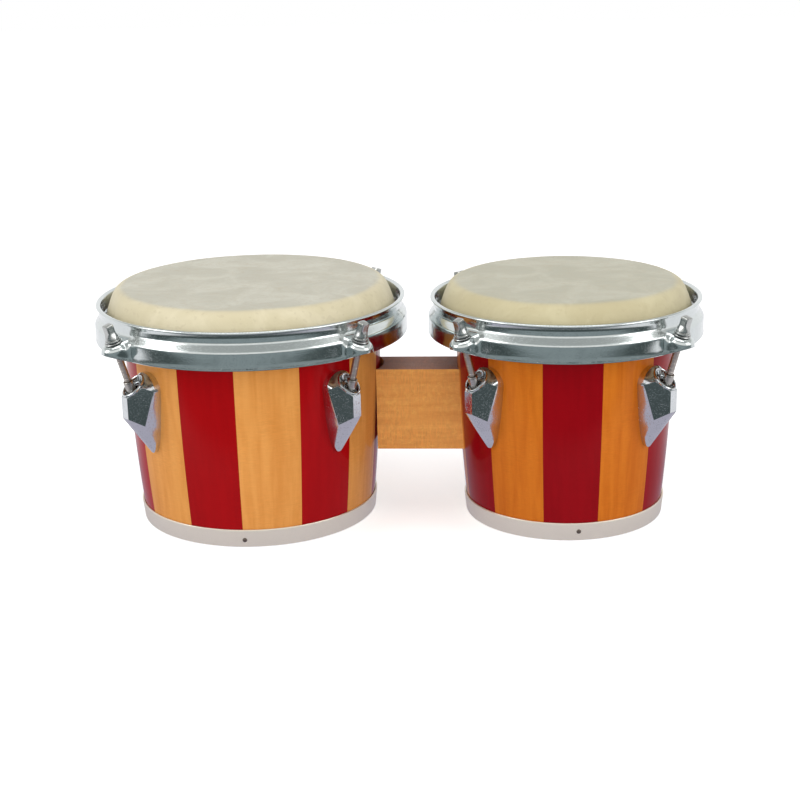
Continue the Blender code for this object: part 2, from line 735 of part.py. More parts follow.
def lug_body_points(drum, wall):
    """Corners of the faceted body, moved inward by a wall thickness for its cavity."""
    corner = drum.rod_reach(LUG_NOSE_TOP)
    nose = corner + LUG_NOSE_REACH
    side = plate_front(drum, LUG_NOSE_TOP)
    side_half = lug_half_width(LUG_SIDE_BOTTOM) * (1 - LUG_PLATE_DRAFT / LUG_HALF_WIDTH)
    back = behind_seat(drum, LUG_NOSE_TOP)

    def top(reach):
        return LUG_NOSE_TOP + (nose - reach) * LUG_TOP_SLOPE

    points = []
    for way in (-1, 1):
        points += [
            (nose - wall, way * max(LUG_NOSE_HALF_WIDTH - wall * 0.3, 0.001), top(nose) - wall),
            (nose - wall, way * max(LUG_NOSE_HALF_WIDTH - wall * 0.3, 0.001), LUG_NOSE_BOTTOM + wall * 0.6),
            (corner - wall * 0.2, way * (LUG_CORNER_HALF_WIDTH - wall), top(corner) - wall),
            (corner - wall * 0.2, way * (LUG_CORNER_HALF_WIDTH - wall), LUG_CORNER_BOTTOM + wall),
            (side, way * (side_half - wall), top(side) - wall),
            (side, way * (side_half - wall), LUG_SIDE_BOTTOM + wall * 0.5),
        ]
        if wall:
            points += [
                (back, way * (side_half - wall), top(side) - wall),
                (back, way * (LUG_CORNER_HALF_WIDTH - wall), LUG_CAVITY_FLOOR),
                (corner - wall, way * (LUG_CORNER_HALF_WIDTH - wall) * 0.6, LUG_CAVITY_FLOOR),
            ]
    if not wall:
        points += [p for p in plate_points(drum, front_only=True) if p[2] < LUG_CORNER_BOTTOM]
    return points


def make_lug(drum, number, angle, seat):
    """A hollow casting: pointed plate, faceted body and a keyhole for the swivel nut."""
    station = place(bpy.data.objects.new(f"lug_station_{drum.name}_{number}", None), parts, drum.empty)
    station.rotation_euler.z = math.radians(angle)
    lug = hull(f"lug_{drum.name}_{number}", plate_points(drum), station)
    body = hull("lug_body", lug_body_points(drum, 0.0), station, cutters)
    combine(lug, make_cutter(body), "UNION")
    cavity = hull("lug_cavity", lug_body_points(drum, LUG_WALL), station, cutters)
    slot = NUT_RADIUS + LUG_SLOT_PLAY
    entry = nut_top(drum) - NUT_COLLAR_DROP
    above = nut_top(drum) + OVERSHOOT
    shaft = rod_between("nut_slot", slot, (0, 0, entry), (0, 0, above), TURNED_STEPS, seat, cutters)
    ends = (-LUG_KEYHOLE_SETBACK, 0, entry), (-LUG_KEYHOLE_SETBACK, 0, above)
    keyhole = rod_between("keyhole", LUG_KEYHOLE_RADIUS, *ends, TURNED_STEPS, seat, cutters)
    shell_space = seat_cutter(drum)
    cut(lug, cavity, shaft, keyhole, shell_space)
    for height in LUG_SCREW_HEIGHTS:
        start = drum.outside(height)
        radius = LUG_SCREW_RADIUS + SCREW_HOLE_PLAY
        end = start + LUG_SCREW_BITE + SCREW_HOLE_PLAY + FIT_GAP
        cut(lug, spoke(drum, angle, height, radius, start - OVERSHOOT, end))
    set_finish(lug, "chrome")
    return lug


def seat_cutter(drum):
    """The space that the shell fills, with the seat's clearance, made once for each drum."""
    name = f"shell_space_{drum.name}"
    found = cutters.objects.get(name)
    if found:
        return found
    outer = shell_profile(drum, FIT_GAP)
    profile = [(0.0, outer[0][1]), *outer, (0.0, 0.0)]
    return make_cutter(turned(name, profile, drum.steps, drum.empty, cutters, start=drum.stave_start))


def make_lug_screws(drum, number, angle):
    """Two round-headed screws on one backing strip, from inside the shell into the lug."""
    half_width = BACKING_STRIP_WIDTH / 2
    heights = LUG_SCREW_HEIGHTS[0] - BACKING_STRIP_MARGIN, LUG_SCREW_HEIGHTS[1] + BACKING_STRIP_MARGIN

    def seat(z):
        return math.sqrt((drum.inside(z) * drum.sag) ** 2 - half_width**2) - FIT_GAP

    station = place(bpy.data.objects.new(f"lug_screw_station_{drum.name}_{number}", None), parts, drum.empty)
    station.rotation_euler.z = math.radians(angle)
    corners = []
    for z in heights:
        for side in (-half_width, half_width):
            corners += [(seat(z), side, z), (seat(z) - BACKING_STRIP_THICKNESS, side, z)]
    strip = hull(f"lug_screws_{drum.name}_{number}", corners, station)
    for height in LUG_SCREW_HEIGHTS:
        middle = seat(height) - BACKING_STRIP_THICKNESS / 2
        under = middle - BACKING_STRIP_THICKNESS / 2 - LUG_SCREW_HEAD_HEIGHT
        tip = drum.outside(height) + LUG_SCREW_BITE
        ends = (under, 0, height), (middle, 0, height), (tip, 0, height)
        head = rod_between("screw_head", LUG_SCREW_HEAD_RADIUS, *ends[:2], SCREW_STEPS, station, cutters)
        shank = rod_between("screw_shank", LUG_SCREW_RADIUS, *ends[1:], SCREW_STEPS, station, cutters)
        combine(strip, make_cutter(head), "UNION")
        combine(strip, make_cutter(shank), "UNION")
    set_finish(strip, "plain_steel")
    return strip


def block_screw_heights():
    return BLOCK_CENTRE_HEIGHT - BLOCK_SCREW_SPREAD / 2, BLOCK_CENTRE_HEIGHT + BLOCK_SCREW_SPREAD / 2


def make_block(large, small):
    """The centre block, its ends sawn to the shells and hollowed at the large drum."""
    half = BLOCK_THICKNESS / 2
    low = BLOCK_CENTRE_HEIGHT - BLOCK_HEIGHT / 2
    high = BLOCK_CENTRE_HEIGHT + BLOCK_HEIGHT / 2
    block = box("centre_block", (large.x, -half, low), (small.x, half, high), None)
    cut(block, seat_cutter(large), seat_cutter(small))
    face = math.sqrt(large.outside(high) ** 2 - half**2)
    sag = large.outside(high) - face + BLOCK_HOLLOW_DEPTH
    bow = (half**2 + sag**2) / (2 * sag)
    centre = large.x + face + sag - bow
    ends = (centre, 0, low - OVERSHOOT), (centre, 0, high + OVERSHOOT)
    hollow = rod_between("block_hollow", bow, *ends, large.steps, None, cutters)
    cut(block, hollow)
    for drum in (large, small):
        for height in block_screw_heights():
            radius = BLOCK_SCREW_RADIUS + SCREW_HOLE_PLAY
            start = drum.outside(height) - OVERSHOOT
            end = drum.outside(height) + BLOCK_SCREW_BITE + 2 * FIT_GAP
            cut(block, spoke(drum, drum.facing, height, radius, start, end))
    set_finish(block, "block_wood")
    return block


def make_block_screws(drum):
    """Washer-headed wood screws from inside a shell into the block."""
    for number, height in enumerate(block_screw_heights(), 1):
        seat = math.sqrt((drum.inside(height) * drum.sag) ** 2 - BLOCK_SCREW_HEAD_RADIUS**2) - FIT_GAP
        spot = outward(drum, drum.facing, seat, height, f"block_screw_spot_{drum.name}_{number}")
        spot.rotation_euler.y = -math.pi / 2
        length = drum.outside(height) - seat + BLOCK_SCREW_BITE
        screw = headed_screw(
            f"block_screw_{drum.name}_{number}",
            BLOCK_SCREW_HEAD_RADIUS,
            BLOCK_SCREW_HEAD_HEIGHT,
            BLOCK_SCREW_RADIUS,
            length,
            SCREW_STEPS,
            spot,
        )
        set_finish(screw, "plain_steel")


def make_drum(drum):
    make_shell(drum)
    make_band(drum)
    make_band_screws(drum)
    make_skin(drum)
    make_flesh_hoop(drum)
    make_rim(drum)
    for number, angle in enumerate(LUG_ANGLES, 1):
        seat = lean_empty(drum, angle, f"rod_axis_{drum.name}_{number}")
        make_rod(drum, number, seat)
        make_washer(drum, number, seat)
        make_nut(drum, number, seat)
        make_lug(drum, number, angle, seat)
        make_lug_screws(drum, number, angle)
    make_block_screws(drum)


def stand(drum, x):
    drum.x = x
    drum.empty = place(bpy.data.objects.new(f"axis_{drum.name}", None), parts)
    drum.empty.location.x = x


for old in list(bpy.data.objects):
    bpy.data.objects.remove(old)

parts = bpy.data.collections.new("bongos")
cutters = bpy.data.collections.new("cutters")
bpy.context.scene.collection.children.link(parts)
bpy.context.scene.collection.children.link(cutters)

large_drum = Drum("large", LARGE_SHELL_RADIUS, LARGE_STAVES, LARGE_STAVE_START, LARGE_SCREW_ANGLE, 0.0)
small_drum = Drum("small", SMALL_SHELL_RADIUS, SMALL_STAVES, SMALL_STAVE_START, SMALL_SCREW_ANGLE, 180.0)
spacing = (
    large_drum.outside(BLOCK_CENTRE_HEIGHT) + BLOCK_LENGTH + small_drum.outside(BLOCK_CENTRE_HEIGHT)
)
ear_tip_difference = large_drum.ear_hole() - small_drum.ear_hole()
stand(large_drum, -spacing / 2 + ear_tip_difference / 2)
stand(small_drum, spacing / 2 + ear_tip_difference / 2)

make_drum(large_drum)
make_drum(small_drum)
make_block(large_drum, small_drum)
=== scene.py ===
from math import asin, atan2, cos, degrees, hypot, pi, radians, sin, sqrt, tan, tau

import bmesh
import bpy
from mathutils import Matrix, Vector, noise


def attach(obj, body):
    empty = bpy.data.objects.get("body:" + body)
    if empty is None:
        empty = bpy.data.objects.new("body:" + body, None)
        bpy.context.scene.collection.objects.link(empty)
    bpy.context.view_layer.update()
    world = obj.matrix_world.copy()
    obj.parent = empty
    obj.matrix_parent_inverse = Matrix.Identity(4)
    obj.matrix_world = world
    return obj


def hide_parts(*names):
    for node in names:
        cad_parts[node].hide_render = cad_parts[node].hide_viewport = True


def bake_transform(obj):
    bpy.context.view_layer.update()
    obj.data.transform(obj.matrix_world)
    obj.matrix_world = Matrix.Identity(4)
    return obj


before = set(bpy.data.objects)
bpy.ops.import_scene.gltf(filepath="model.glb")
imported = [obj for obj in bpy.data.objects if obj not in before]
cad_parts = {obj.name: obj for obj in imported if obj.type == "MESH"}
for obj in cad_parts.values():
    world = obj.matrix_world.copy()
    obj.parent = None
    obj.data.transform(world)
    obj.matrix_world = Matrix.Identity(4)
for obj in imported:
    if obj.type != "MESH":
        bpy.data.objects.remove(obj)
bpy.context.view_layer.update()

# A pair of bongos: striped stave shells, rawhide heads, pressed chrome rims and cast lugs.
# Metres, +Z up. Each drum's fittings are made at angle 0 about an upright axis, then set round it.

# Shells
SHELL_HEIGHT = 0.1845
SHELL_TAPER = 0.0086
SHELL_BELLY_HEIGHT = 0.165
SHELL_WALL = 0.011
BEARING_EDGE_ROUND = 0.005
FIT_GAP = 0.0003
COLUMNS_PER_STAVE = 12
SEAM_GROOVE = 0.00009
INNER_EDGE_CHAMFER = 0.003
STAVE_MAP_MARGIN = 0.001
INSIDE_MAP_SHIFT = 0.3
GRAIN_WIDTH = 0.046
GRAIN_SHIFT = 0.731
SEAM_TINT = 0.18

# Foot bands
BAND_HEIGHT = 0.014
BAND_STEEL = 0.0012
BAND_SCREW_HEIGHTS = {"large": 0.0059, "small": 0.0074}
BAND_STEPS = 216
BAND_DENTS = 0.00012

# Heads and rims: radii are taken from the shell's or the lip's, heights from the floor
LIP_BEYOND_SHELL = 0.0196
RIM_TOP = 0.1743
RIM_BOTTOM = 0.1459
RIM_WALL_INSET = 0.0044
RIM_STEEL = 0.0018
LIP_ROLL = 0.0014
EAR_PLANE_INSET = 0.0035
EAR_PLANE_TOP = 0.1636
SHELF_TOP = 0.1652
SHELF_SLOPE = 1.45
EAR_BLEND = 0.4
SKIRT_BEYOND_LIP = 0.0015
SHOULDER_RADIUS = 0.0032
CORNER_RADIUS = 0.0034
EAR_EDGE_RADIUS = 0.0048
EAR_FLARE = 14.0
HOOP_INSET = 0.0047
HOOP_HEIGHT = 0.1567
SKIN_TOP = 0.1862
SKIN_THICKNESS = 0.0015
SKIN_CORNER_INSET = 0.019
SKIN_DISH = 0.00015
SKIN_TUCK_RADII = (0.0026, 0.0040)
HIDE_WAVES = 0.00022
HIDE_FOLDS = 0.00045
HIDE_FOLDS_INSET = 0.022
HIDE_FOLDS_ZONE = 0.010

# Sections of the rim: up its inside and under its lip as (offset, drop), round its hem as (inset, rise)
RIM_INSIDE = ((0.0, 0.0068), (0.0001, 0.0043), (0.0004, 0.0021), (0.0008, 0.0009), (0.0014, 0.00025),
              (0.0022, 0.0))
RIM_UNDER_LIP = ((0.0001, 0.0016), (0.0008, 0.0020), (0.0020, 0.0021))
RIM_HEM = ((0.0, 0.0014), (-0.00022, 0.0007), (-0.00015, 0.0002), (0.0006, 0.0), (0.0013, 0.0001),
           (RIM_STEEL, 0.0006))

# Ears
EAR_HALF_WIDTH = 0.0092
EAR_HOLE_RADIUS = 0.0040
EAR_TIP_BEYOND_LIP = 0.0175
EAR_LIFT = 0.0062
EAR_ROOT_WIDTH = 0.0124
EAR_END_ANGLE = 84.0
EAR_ROOT_PULLS = (0.0044, 0.0026)

# Tension rods
LUG_ANGLES = (-133.6, -43.6, 46.4, 136.4)
ROD_LEAN = radians(17.5)
HOLE_BEYOND_SHELL = 0.0275
ROD_SEAT_HEIGHT = 0.1600056
ROD_CORE_RADIUS = 0.00240
THREAD_PITCH = 0.0254 / 24
THREAD_WIRE = 0.00022
ROD_LENGTH = 0.058
THREAD_START = 0.0125
THREAD_RUN_OUT = 0.0006
THREAD_END_GAP = 0.0032
WASHER_RADIUS = 0.0066
WASHER_THICKNESS = 0.0012
WASHER_EDGE = 0.0003
BORE_RADIUS = 0.0029
KEY_HEAD_START = -0.001

# Swivel nuts
NUT_TOP = -0.0325
NUT_RADIUS = 0.0038
NUT_LENGTH = 0.021

# Lugs
LUG_WIDE_HEIGHT = 0.1190
LUG_TIP_HEIGHT = 0.0685
LUG_HALF_WIDTH = 0.0135
LUG_FOOT_CURVE = 0.42
LUG_TIP_DEPTH = 0.0032
LUG_PLATE_DEPTH = 0.0040
LUG_NOSE_REACH = 0.0082
LUG_NOSE_TOP = -0.0020
LUG_NOSE_BOTTOM = -0.0185
LUG_NOSE_HALF_WIDTH = 0.0037
LUG_CORNER_SETBACK = 0.0106
LUG_CORNER_HALF_WIDTH = 0.0094
LUG_CORNER_BOTTOM = -0.0250
LUG_SIDE_DEPTH = 0.0054
LUG_SIDE_SHARE = 0.965
LUG_SIDE_TOP = 0.0035
LUG_SIDE_BOTTOM = -0.0100
LUG_TOP_SLOPE = 0.65
LUG_RECESS = 0.0012
LUG_LIP_SLOPE = 0.82
LUG_LIP_REACH = 0.0076
LUG_LIP_HALF_WIDTH = 0.0072
LUG_LIP_SETBACK = 0.0009
LUG_LIP_RADIUS = 0.0010
LUG_SLOT_RADIUS = 0.0047
LUG_SLOT_SETBACK = 0.0010
LUG_SLOT_FLOOR = 0.012
LUG_EDGE_ROUND = 0.0009


class Drum:
    """What differs between the two drums."""

    def __init__(self, name, x, radius, seams, screw_angle, field_tones, slope_tones):
        self.name = name
        self.x = x
        self.radius = radius
        self.lip = radius + LIP_BEYOND_SHELL
        self.seams = seams
        self.screw_angle = screw_angle
        self.field_tones = field_tones
        self.slope_tones = slope_tones

    def outside(self, z):
        fall = (SHELL_BELLY_HEIGHT - z) / SHELL_BELLY_HEIGHT
        return self.radius - SHELL_TAPER * fall * fall

    def rod_reach(self, z):
        """Radius of a rod's axis at height z."""
        return self.radius + HOLE_BEYOND_SHELL - (ROD_SEAT_HEIGHT - z) * tan(ROD_LEAN)

    def centre(self):
        return Matrix.Translation((self.x, 0, 0))

    def seat(self):
        """Local frame of a rod at angle 0: its origin on the ear, +Z up the rod."""
        place = Matrix.Translation((self.radius + HOLE_BEYOND_SHELL, 0, ROD_SEAT_HEIGHT))
        return place @ Matrix.Rotation(ROD_LEAN, 4, "Y")


def fill_seams(known, count):
    """The angles of all seams: the known ones and the rest spread evenly over what is left."""
    rest = count - len(known) + 1
    gap = (known[0] + 360.0 - known[-1]) / rest
    return list(known) + [known[-1] + gap * step for step in range(1, rest)]


DRUMS = (
    Drum("large", -0.1144786, 0.1004, fill_seams((-144.0, -116.0, -90.0, -62.0, -35.6), 14), -89.2,
         ((0.47, 0.45, 0.355), (0.58, 0.565, 0.47)), ((0.62, 0.55, 0.36), (0.71, 0.64, 0.45))),
    Drum("small", 0.1300786, 0.0848, fill_seams((-134.4, -103.1, -72.6, -40.8), 12), -83.5,
         ((0.42, 0.405, 0.30), (0.52, 0.505, 0.40)), ((0.52, 0.455, 0.27), (0.60, 0.54, 0.34))),
)


# ---- node trees

def fill(tree, socket, value):
    """An input linked to a socket or set to a value; a colour gets its alpha."""
    if isinstance(value, bpy.types.NodeSocket):
        tree.links.new(value, socket)
    elif socket.type == "RGBA":
        socket.default_value = (*value, 1.0)
    else:
        socket.default_value = value


def make_node(tree, kind, inputs=None, **settings):
    """A node with its settings and its inputs, which are given by name or number."""
    node = tree.nodes.new(kind)
    for name, value in settings.items():
        setattr(node, name, value)
    for name, value in (inputs or {}).items():
        fill(tree, node.inputs[name], value)
    return node


def add(tree, kind, inputs=None, **settings):
    """The first output of a node that is made the same way."""
    return make_node(tree, kind, inputs, **settings).outputs[0]


def feed(tree, node, **inputs):
    """A node's inputs filled; their names are written with _ for a space."""
    for name, value in inputs.items():
        fill(tree, node.inputs[name.replace("_", " ")], value)
    return node.outputs


def maths(tree, operation, *values):
    return add(tree, "ShaderNodeMath", dict(enumerate(values)), operation=operation)


def times(tree, first, second):
    return maths(tree, "MULTIPLY", first, second)


def plus(tree, first, second):
    return maths(tree, "ADD", first, second)


def joined(tree, **axes):
    return add(tree, "ShaderNodeCombineXYZ", axes)


def split(tree, vector):
    return make_node(tree, "ShaderNodeSeparateXYZ", {"Vector": vector}).outputs


def distance(tree, vector):
    return make_node(tree, "ShaderNodeVectorMath", {0: vector}, operation="LENGTH").outputs["Value"]


def remap(tree, value, low, high, start=0.0, end=1.0, smooth=True):
    """A value moved from one range to another, kept inside it."""
    kind = "SMOOTHSTEP" if smooth else "LINEAR"
    inputs = {"Value": value, "From Min": low, "From Max": high, "To Min": start, "To Max": end}
    return add(tree, "ShaderNodeMapRange", inputs, interpolation_type=kind)


def tint(tree, factor, first, second):
    """Two colours mixed by a factor."""
    return make_node(tree, "ShaderNodeMix", {0: factor, 6: first, 7: second}, data_type="RGBA").outputs[2]


def stretched(tree, vector, scale):
    return add(tree, "ShaderNodeVectorMath", {0: vector, 1: scale}, operation="MULTIPLY")


def noisy(tree, vector, scale, detail=3.0, rough=0.55, distortion=0.0):
    return add(tree, "ShaderNodeTexNoise", {"Vector": vector, "Scale": scale, "Detail": detail,
                                            "Roughness": rough, "Distortion": distortion})


def add_socket(tree, way, label, kind):
    return tree.interface.new_socket(label, in_out=way, socket_type="NodeSocket" + kind)


def shared_group(name, inputs, outputs):
    """A shader group with named sockets: its tree, its given inputs and its last node."""
    tree = bpy.data.node_groups.new(name, "ShaderNodeTree")
    for label, kind, value in inputs:
        socket = add_socket(tree, "INPUT", label, kind)
        if value is not None:
            socket.default_value = value
    for label, kind in outputs:
        add_socket(tree, "OUTPUT", label, kind)
    return tree, tree.nodes.new("NodeGroupInput").outputs, tree.nodes.new("NodeGroupOutput")


def use(tree, group, **inputs):
    """A shared group placed in a material."""
    return feed(tree, make_node(tree, "ShaderNodeGroup", node_tree=group), **inputs)


def make_grain():
    """Wood grain: long streaks, fine pores and slow patches along Z of the vector."""
    tree, given, end = shared_group(
        "wood_grain",
        [("Vector", "Vector", None), ("Light", "Color", (1, 1, 1, 1)), ("Dark", "Color", (0, 0, 0, 1)),
         ("Streak Scale", "Float", 400.0), ("Stretch", "Float", 0.05), ("Contrast", "Float", 0.5),
         ("Pores", "Float", 0.3), ("Ripple Scale", "Float", 900.0), ("Ripple", "Float", 0.3)],
        [("Colour", "Color"), ("Height", "Float")],
    )
    where, scale = given["Vector"], given["Streak Scale"]
    along = stretched(tree, where, joined(tree, X=1.0, Y=1.0, Z=given["Stretch"]))
    streaks = noisy(tree, along, scale, 4.0, 0.6, 0.3)
    broad = noisy(tree, along, times(tree, scale, 0.16), 2.0, 0.5, 0.6)
    fine = noisy(tree, along, times(tree, scale, 4.0), 2.0, 0.5)
    body = plus(tree, times(tree, streaks, 0.6), times(tree, broad, 0.4))
    tone = times(tree, remap(tree, body, 0.34, 0.66), given["Contrast"])
    pores = times(tree, remap(tree, fine, 0.60, 0.72), given["Pores"])
    colour = tint(tree, pores, tint(tree, tone, given["Light"], given["Dark"]), given["Dark"])
    across = stretched(tree, where, (0.16, 0.16, 1.0))
    ripple = noisy(tree, across, given["Ripple Scale"], 3.0, 0.6, 0.5)
    patch = remap(tree, noisy(tree, where, 38.0, 2.0, 0.5), 0.35, 0.65, 0.35, 1.0)
    crest = remap(tree, ripple, 0.36, 0.68, -1.0, 1.0, smooth=False)
    lit = plus(tree, 1.0, times(tree, times(tree, crest, patch), given["Ripple"]))
    rippled = add(tree, "ShaderNodeHueSaturation", {"Value": lit, "Color": colour})
    feed(tree, end, Colour=rippled, Height=maths(tree, "SUBTRACT", body, pores))
    return tree


def make_mottle():
    """Plating texture: fine peel, sparse specks and slow smears, for metal and hide alike."""
    tree, given, end = shared_group(
        "surface_mottle",
        [("Vector", "Vector", None), ("Peel Scale", "Float", 900.0), ("Speck Scale", "Float", 1400.0),
         ("Speck Limit", "Float", 0.66), ("Smear Scale", "Float", 40.0)],
        [("Peel", "Float"), ("Specks", "Float"), ("Smear", "Float")],
    )
    where, limit = given["Vector"], given["Speck Limit"]
    speck = noisy(tree, where, given["Speck Scale"], 1.0, 0.4)
    feed(tree, end, Peel=noisy(tree, where, given["Peel Scale"], 3.0, 0.6),
         Specks=remap(tree, speck, limit, plus(tree, limit, 0.06)),
         Smear=noisy(tree, where, given["Smear Scale"], 4.0, 0.6, 0.8))
    return tree


GRAIN = make_grain()
MOTTLE = make_mottle()


def finish(name, colour=(0.5, 0.5, 0.5), roughness=0.4, metallic=0.0, **fixed):
    """A material with its shader, ready for its pattern: (material, tree, shader, object coordinates)."""
    material = bpy.data.materials.new(name)
    material.use_nodes = True
    tree = material.node_tree
    shader = tree.nodes["Principled BSDF"]
    feed(tree, shader, Base_Color=colour, Roughness=roughness, Metallic=metallic, **fixed)
    where = tree.nodes.new("ShaderNodeTexCoord").outputs["Object"]
    return material, tree, shader, where


def bump(tree, height, distance, strength=0.5):
    inputs = {"Height": height, "Distance": distance, "Strength": strength}
    return add(tree, "ShaderNodeBump", inputs)


def stave_finish(name, light, dark, contrast, pores, ripple, tone_range):
    """Lacquered stave: upright grain on the stave's own map, its own tone and dark seams."""
    material, tree, shader, _ = finish(name, roughness=0.34, Coat_Weight=0.75, Coat_Roughness=0.06,
                                       Coat_IOR=1.2, Specular_IOR_Level=0.02)
    parts = split(tree, add(tree, "ShaderNodeUVMap", uv_map="staves"))
    index = maths(tree, "FLOOR", parts["X"])
    across = maths(tree, "FRACT", parts["X"])
    grain_at = joined(tree, X=times(tree, across, GRAIN_WIDTH), Y=times(tree, index, GRAIN_SHIFT),
                      Z=parts["Y"])
    grain = use(tree, GRAIN, Vector=grain_at, Light=light, Dark=dark, Streak_Scale=150.0, Stretch=0.11,
                Contrast=contrast, Pores=pores, Ripple_Scale=1100.0, Ripple=ripple)
    tone = add(tree, "ShaderNodeTexWhiteNoise", {"W": index}, noise_dimensions="1D")
    shade = remap(tree, tone, 0.0, 1.0, *tone_range, smooth=False)
    toned = add(tree, "ShaderNodeHueSaturation", {"Value": shade, "Color": grain["Colour"]})
    side = maths(tree, "ABSOLUTE", maths(tree, "SUBTRACT", across, 0.5))
    seam = times(tree, remap(tree, side, 0.487, 0.4985), SEAM_TINT)
    seamed = tint(tree, seam, toned, [value * 0.35 for value in dark])
    gloss = remap(tree, grain["Height"], 0.2, 0.8, 0.26, 0.38, smooth=False)
    feed(tree, shader, Base_Color=seamed, Roughness=gloss, Normal=bump(tree, grain["Height"], 0.00006))
    return material


def block_finish(name, light, dark, roughness, coat):
    """Block wood: grain along X with a rippled cross figure."""
    material, tree, shader, where = finish(name, roughness=roughness, Coat_Weight=coat, Coat_Roughness=0.15)
    turn = add(tree, "ShaderNodeMapping", {"Vector": where, "Rotation": (0.0, pi / 2, 0.0)})
    grain = use(tree, GRAIN, Vector=turn, Light=light, Dark=dark, Streak_Scale=300.0, Stretch=0.06,
                Contrast=0.6, Pores=0.12, Ripple_Scale=900.0, Ripple=0.13)
    ripple = noisy(tree, stretched(tree, where, (260.0, 90.0, 420.0)), 1.0, 3.0, 0.6, 0.8)
    bands = noisy(tree, stretched(tree, where, (8.0, 8.0, 110.0)), 1.0, 1.0, 0.5, 0.2)
    lighter = [min(value * 1.25, 0.9) for value in light]
    figure = tint(tree, remap(tree, ripple, 0.48, 0.70, 0.0, 0.55), grain["Colour"], lighter)
    banded = tint(tree, remap(tree, bands, 0.45, 0.7, 0.0, 0.35), figure, dark)
    gloss = remap(tree, ripple, 0.3, 0.7, roughness - 0.05, roughness + 0.1, smooth=False)
    feed(tree, shader, Base_Color=banded, Roughness=gloss, Normal=bump(tree, grain["Height"], 0.00008))
    return material


def metal_finish(name, colour, dull, roughness, peel_scale, peel_depth, specks, metallic=1.0):
    """Plated metal: peel in the plating, sparse dull specks and slow smears of roughness."""
    material, tree, shader, where = finish(name, colour, roughness, metallic)
    marks = use(tree, MOTTLE, Vector=where, Peel_Scale=peel_scale, Speck_Scale=peel_scale * 1.6,
                Speck_Limit=0.66 - specks * 0.1, Smear_Scale=45.0)
    stain = remap(tree, marks["Smear"], 0.42, 0.75, 0.0, 0.2)
    stained = tint(tree, maths(tree, "MAXIMUM", stain, times(tree, marks["Specks"], specks)), colour, dull)
    rough = remap(tree, marks["Smear"], 0.3, 0.75, roughness, roughness + 0.12, smooth=False)
    speckled = plus(tree, rough, times(tree, marks["Specks"], specks * 0.3))
    relief = plus(tree, marks["Peel"], times(tree, marks["Specks"], 0.4))
    feed(tree, shader, Base_Color=stained, Roughness=speckled, Normal=bump(tree, relief, peel_depth, 0.6))
    return material


def rawhide_finish(drum):
    """Rawhide: a grey-cream playing surface, a warmer slope, veins and smudges."""
    material, tree, shader, where = finish(f"rawhide_{drum.name}", roughness=0.55, Sheen_Weight=0.15)
    centred = add(tree, "ShaderNodeMapping", {"Vector": where, "Location": (-drum.x, 0.0, 0.0)})
    radius = distance(tree, stretched(tree, centred, (1.0, 1.0, 0.0)))
    wander = noisy(tree, centred, 30.0, 3.0, 0.5)
    edge = plus(tree, radius, times(tree, maths(tree, "SUBTRACT", wander, 0.5), 0.006))
    corner = drum.lip - SKIN_CORNER_INSET
    slope = remap(tree, edge, corner - 0.004, corner + 0.002)
    marks = use(tree, MOTTLE, Vector=centred, Peel_Scale=700.0, Speck_Scale=260.0, Speck_Limit=0.62,
                Smear_Scale=26.0)
    clouds = remap(tree, marks["Smear"], 0.34, 0.68)
    field = tint(tree, clouds, *drum.field_tones)
    veins = noisy(tree, stretched(tree, centred, (1.0, 2.2, 1.0)), 34.0, 6.0, 0.62, 1.6)
    off_vein = maths(tree, "ABSOLUTE", maths(tree, "SUBTRACT", veins, 0.5))
    veined = tint(tree, remap(tree, off_vein, 0.0, 0.035, 0.32, 0.0), field, (0.44, 0.37, 0.24))
    shown = tint(tree, slope, veined, tint(tree, clouds, *drum.slope_tones))
    freckled = tint(tree, times(tree, marks["Specks"], 0.16), shown, (0.42, 0.34, 0.2))
    rough = remap(tree, marks["Smear"], 0.3, 0.7, 0.48, 0.66, smooth=False)
    relief = plus(tree, marks["Peel"], times(tree, veins, 0.8))
    feed(tree, shader, Base_Color=freckled, Roughness=rough, Normal=bump(tree, relief, 0.00012))
    return material


# Contrast, pores, ripple and the range of tones from stave to stave
NATURAL_GRAIN = (0.75, 0.05, 0.055, (0.96, 1.05))
RED_GRAIN = (0.6, 0.0, 0.03)
NATURAL = {
    "large": stave_finish("natural_large", (0.73, 0.325, 0.084), (0.60, 0.228, 0.046), *NATURAL_GRAIN),
    "small": stave_finish("natural_small", (0.61, 0.170, 0.015), (0.47, 0.105, 0.007), *NATURAL_GRAIN),
}
RED = {
    "large": stave_finish("red_large", (0.37, 0.003, 0.005), (0.28, 0.002, 0.0038), *RED_GRAIN, (0.95, 1.05)),
    "small": stave_finish("red_small", (0.29, 0.0022, 0.0062), (0.22, 0.0016, 0.0048), *RED_GRAIN,
                          (0.93, 1.07)),
}
BLOCK_WOOD = block_finish("block_wood_lacquered", (0.84, 0.37, 0.070), (0.66, 0.225, 0.028), 0.40, 0.15)
# The block's top faces: a darker, greyer wood that is painted shade from the rims and drums above, with a
# duller, uncoated finish.
BLOCK_TOP_PAINTED_SHADE = block_finish("block_wood_top_painted_shade", (0.41, 0.185, 0.115), (0.28, 0.115, 0.070), 0.55, 0.0)
RIM_CHROME = metal_finish("rim_chrome", (0.66, 0.70, 0.70), (0.48, 0.52, 0.51), 0.06, 950.0, 0.000045, 0.35)
LUG_CHROME = metal_finish("lug_chrome", (0.70, 0.72, 0.74), (0.46, 0.49, 0.49), 0.035, 700.0, 0.00006, 0.5)
ROD_ZINC = metal_finish("rod_zinc", (0.50, 0.46, 0.42), (0.30, 0.26, 0.23), 0.26, 1500.0, 0.00003, 0.4)
HEAD_ZINC = metal_finish("key_head_zinc", (0.52, 0.53, 0.52), (0.36, 0.37, 0.36), 0.20, 1300.0, 0.00003, 0.3)
SLEEVE_STEEL = metal_finish("sleeve_steel", (0.52, 0.50, 0.47), (0.36, 0.33, 0.30), 0.20, 1300.0, 0.00003,
                            0.3)
